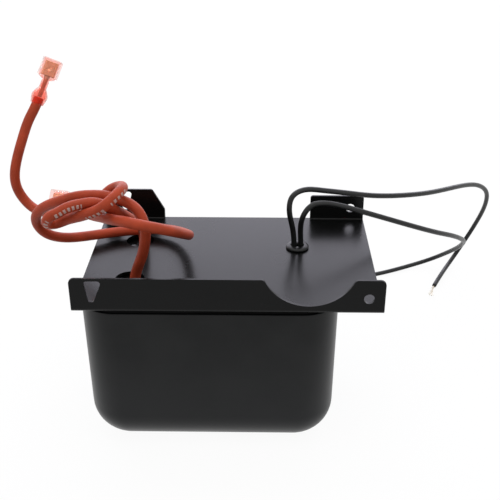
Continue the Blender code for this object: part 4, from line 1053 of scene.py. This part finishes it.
class DRESS_OT_silicone_leads(bpy.types.Operator):
    """High-voltage leads with their insulated terminals"""
    bl_idname = "dress.silicone_leads"
    bl_label = "High-voltage leads"

    def execute(self, context):
        sizes, look = context.scene.lead_sizes, context.scene.terminal_look
        plain = silicone_finish("lead_silicone", sizes.silicone)
        printed = silicone_finish("lead_silicone_printed", sizes.silicone, True)
        sleeve = sleeve_finish("sleeve_vinyl", look.sleeve)
        brass = metal_finish("contact_metal", BRASS, roughness=0.3)
        # the crimp takes a darker brass than the contact
        dimmed = metal_finish("crimp_metal", DARKER_BRASS, roughness=0.35)
        for side, route, y, jacket in (("front", HV_ROUTE_FRONT, -20.1 * MM, plain),
                                       ("rear", HV_ROUTE_REAR, 20 * MM, printed)):
            lead, path, length = make_cord("hv_lead_" + side, "red_silicone", route,
                                           sizes.hv_diameter, jacket)
            at = lead_frame(route)
            on_it = [make_sleeve(side, at, sleeve), make_contact(side, at, brass),
                     make_crimp(side, at, dimmed)]
        return {"FINISHED"}


class DRESS_OT_primary_leads(bpy.types.Operator):
    """Primary leads with their bare ends"""
    bl_idname = "dress.primary_leads"
    bl_label = "Primary leads"

    def execute(self, context):
        sizes, look = context.scene.lead_sizes, context.scene.terminal_look
        vinyl = vinyl_finish("lead_vinyl", sizes.vinyl)
        tinned = metal_finish("strand_tinned", TINNED_STRAND, roughness=0.35, grain=2500.0)
        for side, route in (("left", PRIMARY_ROUTE_LEFT), ("right", PRIMARY_ROUTE_RIGHT)):
            lead, path, length = make_cord("primary_lead_" + side, "black_vinyl", route,
                                           sizes.primary_diameter, vinyl, 20)
            bare = make_strands(side, route, look.strands, tinned)
        return {"FINISHED"}


class DRESS_OT_inner_parts(bpy.types.Operator):
    """Finishes of the solids inside the can"""
    bl_idname = "dress.inner_parts"
    bl_label = "Inner parts"

    def execute(self, context):
        steel = banded_finish("core_laminations", (0.3, 0.31, 0.33), (0.1, 0.1, 0.11),
                              pitch=0.5 * MM, axis="Z", roughness=0.45, metallic=1.0)
        winding = banded_finish("winding_turns", (0.5, 0.17, 0.06), (0.2, 0.06, 0.02),
                                pitch=0.4 * MM, axis="Y", roughness=0.35, metallic=0.7)
        tape = banded_finish("coil_tape", (0.75, 0.56, 0.14), (0.6, 0.42, 0.1),
                             pitch=9.0 * MM, axis="Y", roughness=0.4)
        tinned = metal_finish("tinned_joint", (0.75, 0.75, 0.76), roughness=0.3)
        chosen = (("potting_compound", resin_finish("potting_resin")),
                  ("core_rivet", metal_finish("rivet_metal", (0.55, 0.55, 0.57), 0.35)),
                  ("core_", steel), ("shunt_bar", steel),
                  ("shunt_spacer", plastic_finish("spacer_board", (0.42, 0.28, 0.15), 0.8)),
                  ("_bobbin", plastic_finish("bobbin_moulding", (0.75, 0.72, 0.62), 0.45)),
                  ("_winding", winding), ("_wrap", tape), ("_splice_", tinned),
                  ("earth_strap", tinned))
        for name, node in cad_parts.items():
            for part, finish in chosen:
                if part in name:
                    node.data.materials.clear()
                    node.data.materials.append(finish)
                    break
        return {"FINISHED"}


class DRESS_OT_stage(bpy.types.Operator):
    """Floor, surroundings, lamps and camera"""
    bl_idname = "dress.stage"
    bl_label = "Stage"

    def execute(self, context):
        look = context.scene.stage_look
        make_floor(look.floor)
        make_surroundings(look.sky)
        make_lamps(look.key, look.rear)
        make_camera()
        return {"FINISHED"}


STEPS = (DRESS_OT_silicone_leads, DRESS_OT_primary_leads, DRESS_OT_plate, DRESS_OT_can,
         DRESS_OT_bushing, DRESS_OT_inner_parts, DRESS_OT_stage)
SETTINGS = (("lead_sizes", LeadSizes), ("enamel_look", EnamelLook),
            ("terminal_look", TerminalLook), ("stage_look", StageLook))


class DRESS_PT_panel(bpy.types.Panel):
    """Settings and steps of the dressed transformer"""
    bl_idname = "DRESS_PT_panel"
    bl_label = "Transformer"
    bl_space_type = "VIEW_3D"
    bl_region_type = "UI"
    bl_category = "Transformer"

    def draw(self, context):
        for name, group in SETTINGS:
            box = self.layout.box()
            settings = getattr(context.scene, name)
            for key in group.__annotations__:
                box.prop(settings, key)
        for step in STEPS:
            self.layout.operator(step.bl_idname)


def register():
    for name, group in SETTINGS:
        bpy.utils.register_class(group)
        setattr(bpy.types.Scene, name, PointerProperty(type=group))
    for step in STEPS:
        bpy.utils.register_class(step)
    bpy.utils.register_class(DRESS_PT_panel)


def unregister():
    bpy.utils.unregister_class(DRESS_PT_panel)
    for step in reversed(STEPS):
        bpy.utils.unregister_class(step)
    for name, group in reversed(SETTINGS):
        delattr(bpy.types.Scene, name)
        bpy.utils.unregister_class(group)


def main():
    register()
    for step in STEPS:
        family, call = step.bl_idname.split(".")
        getattr(getattr(bpy.ops, family), call)()


if __name__ == "__main__":
    main()
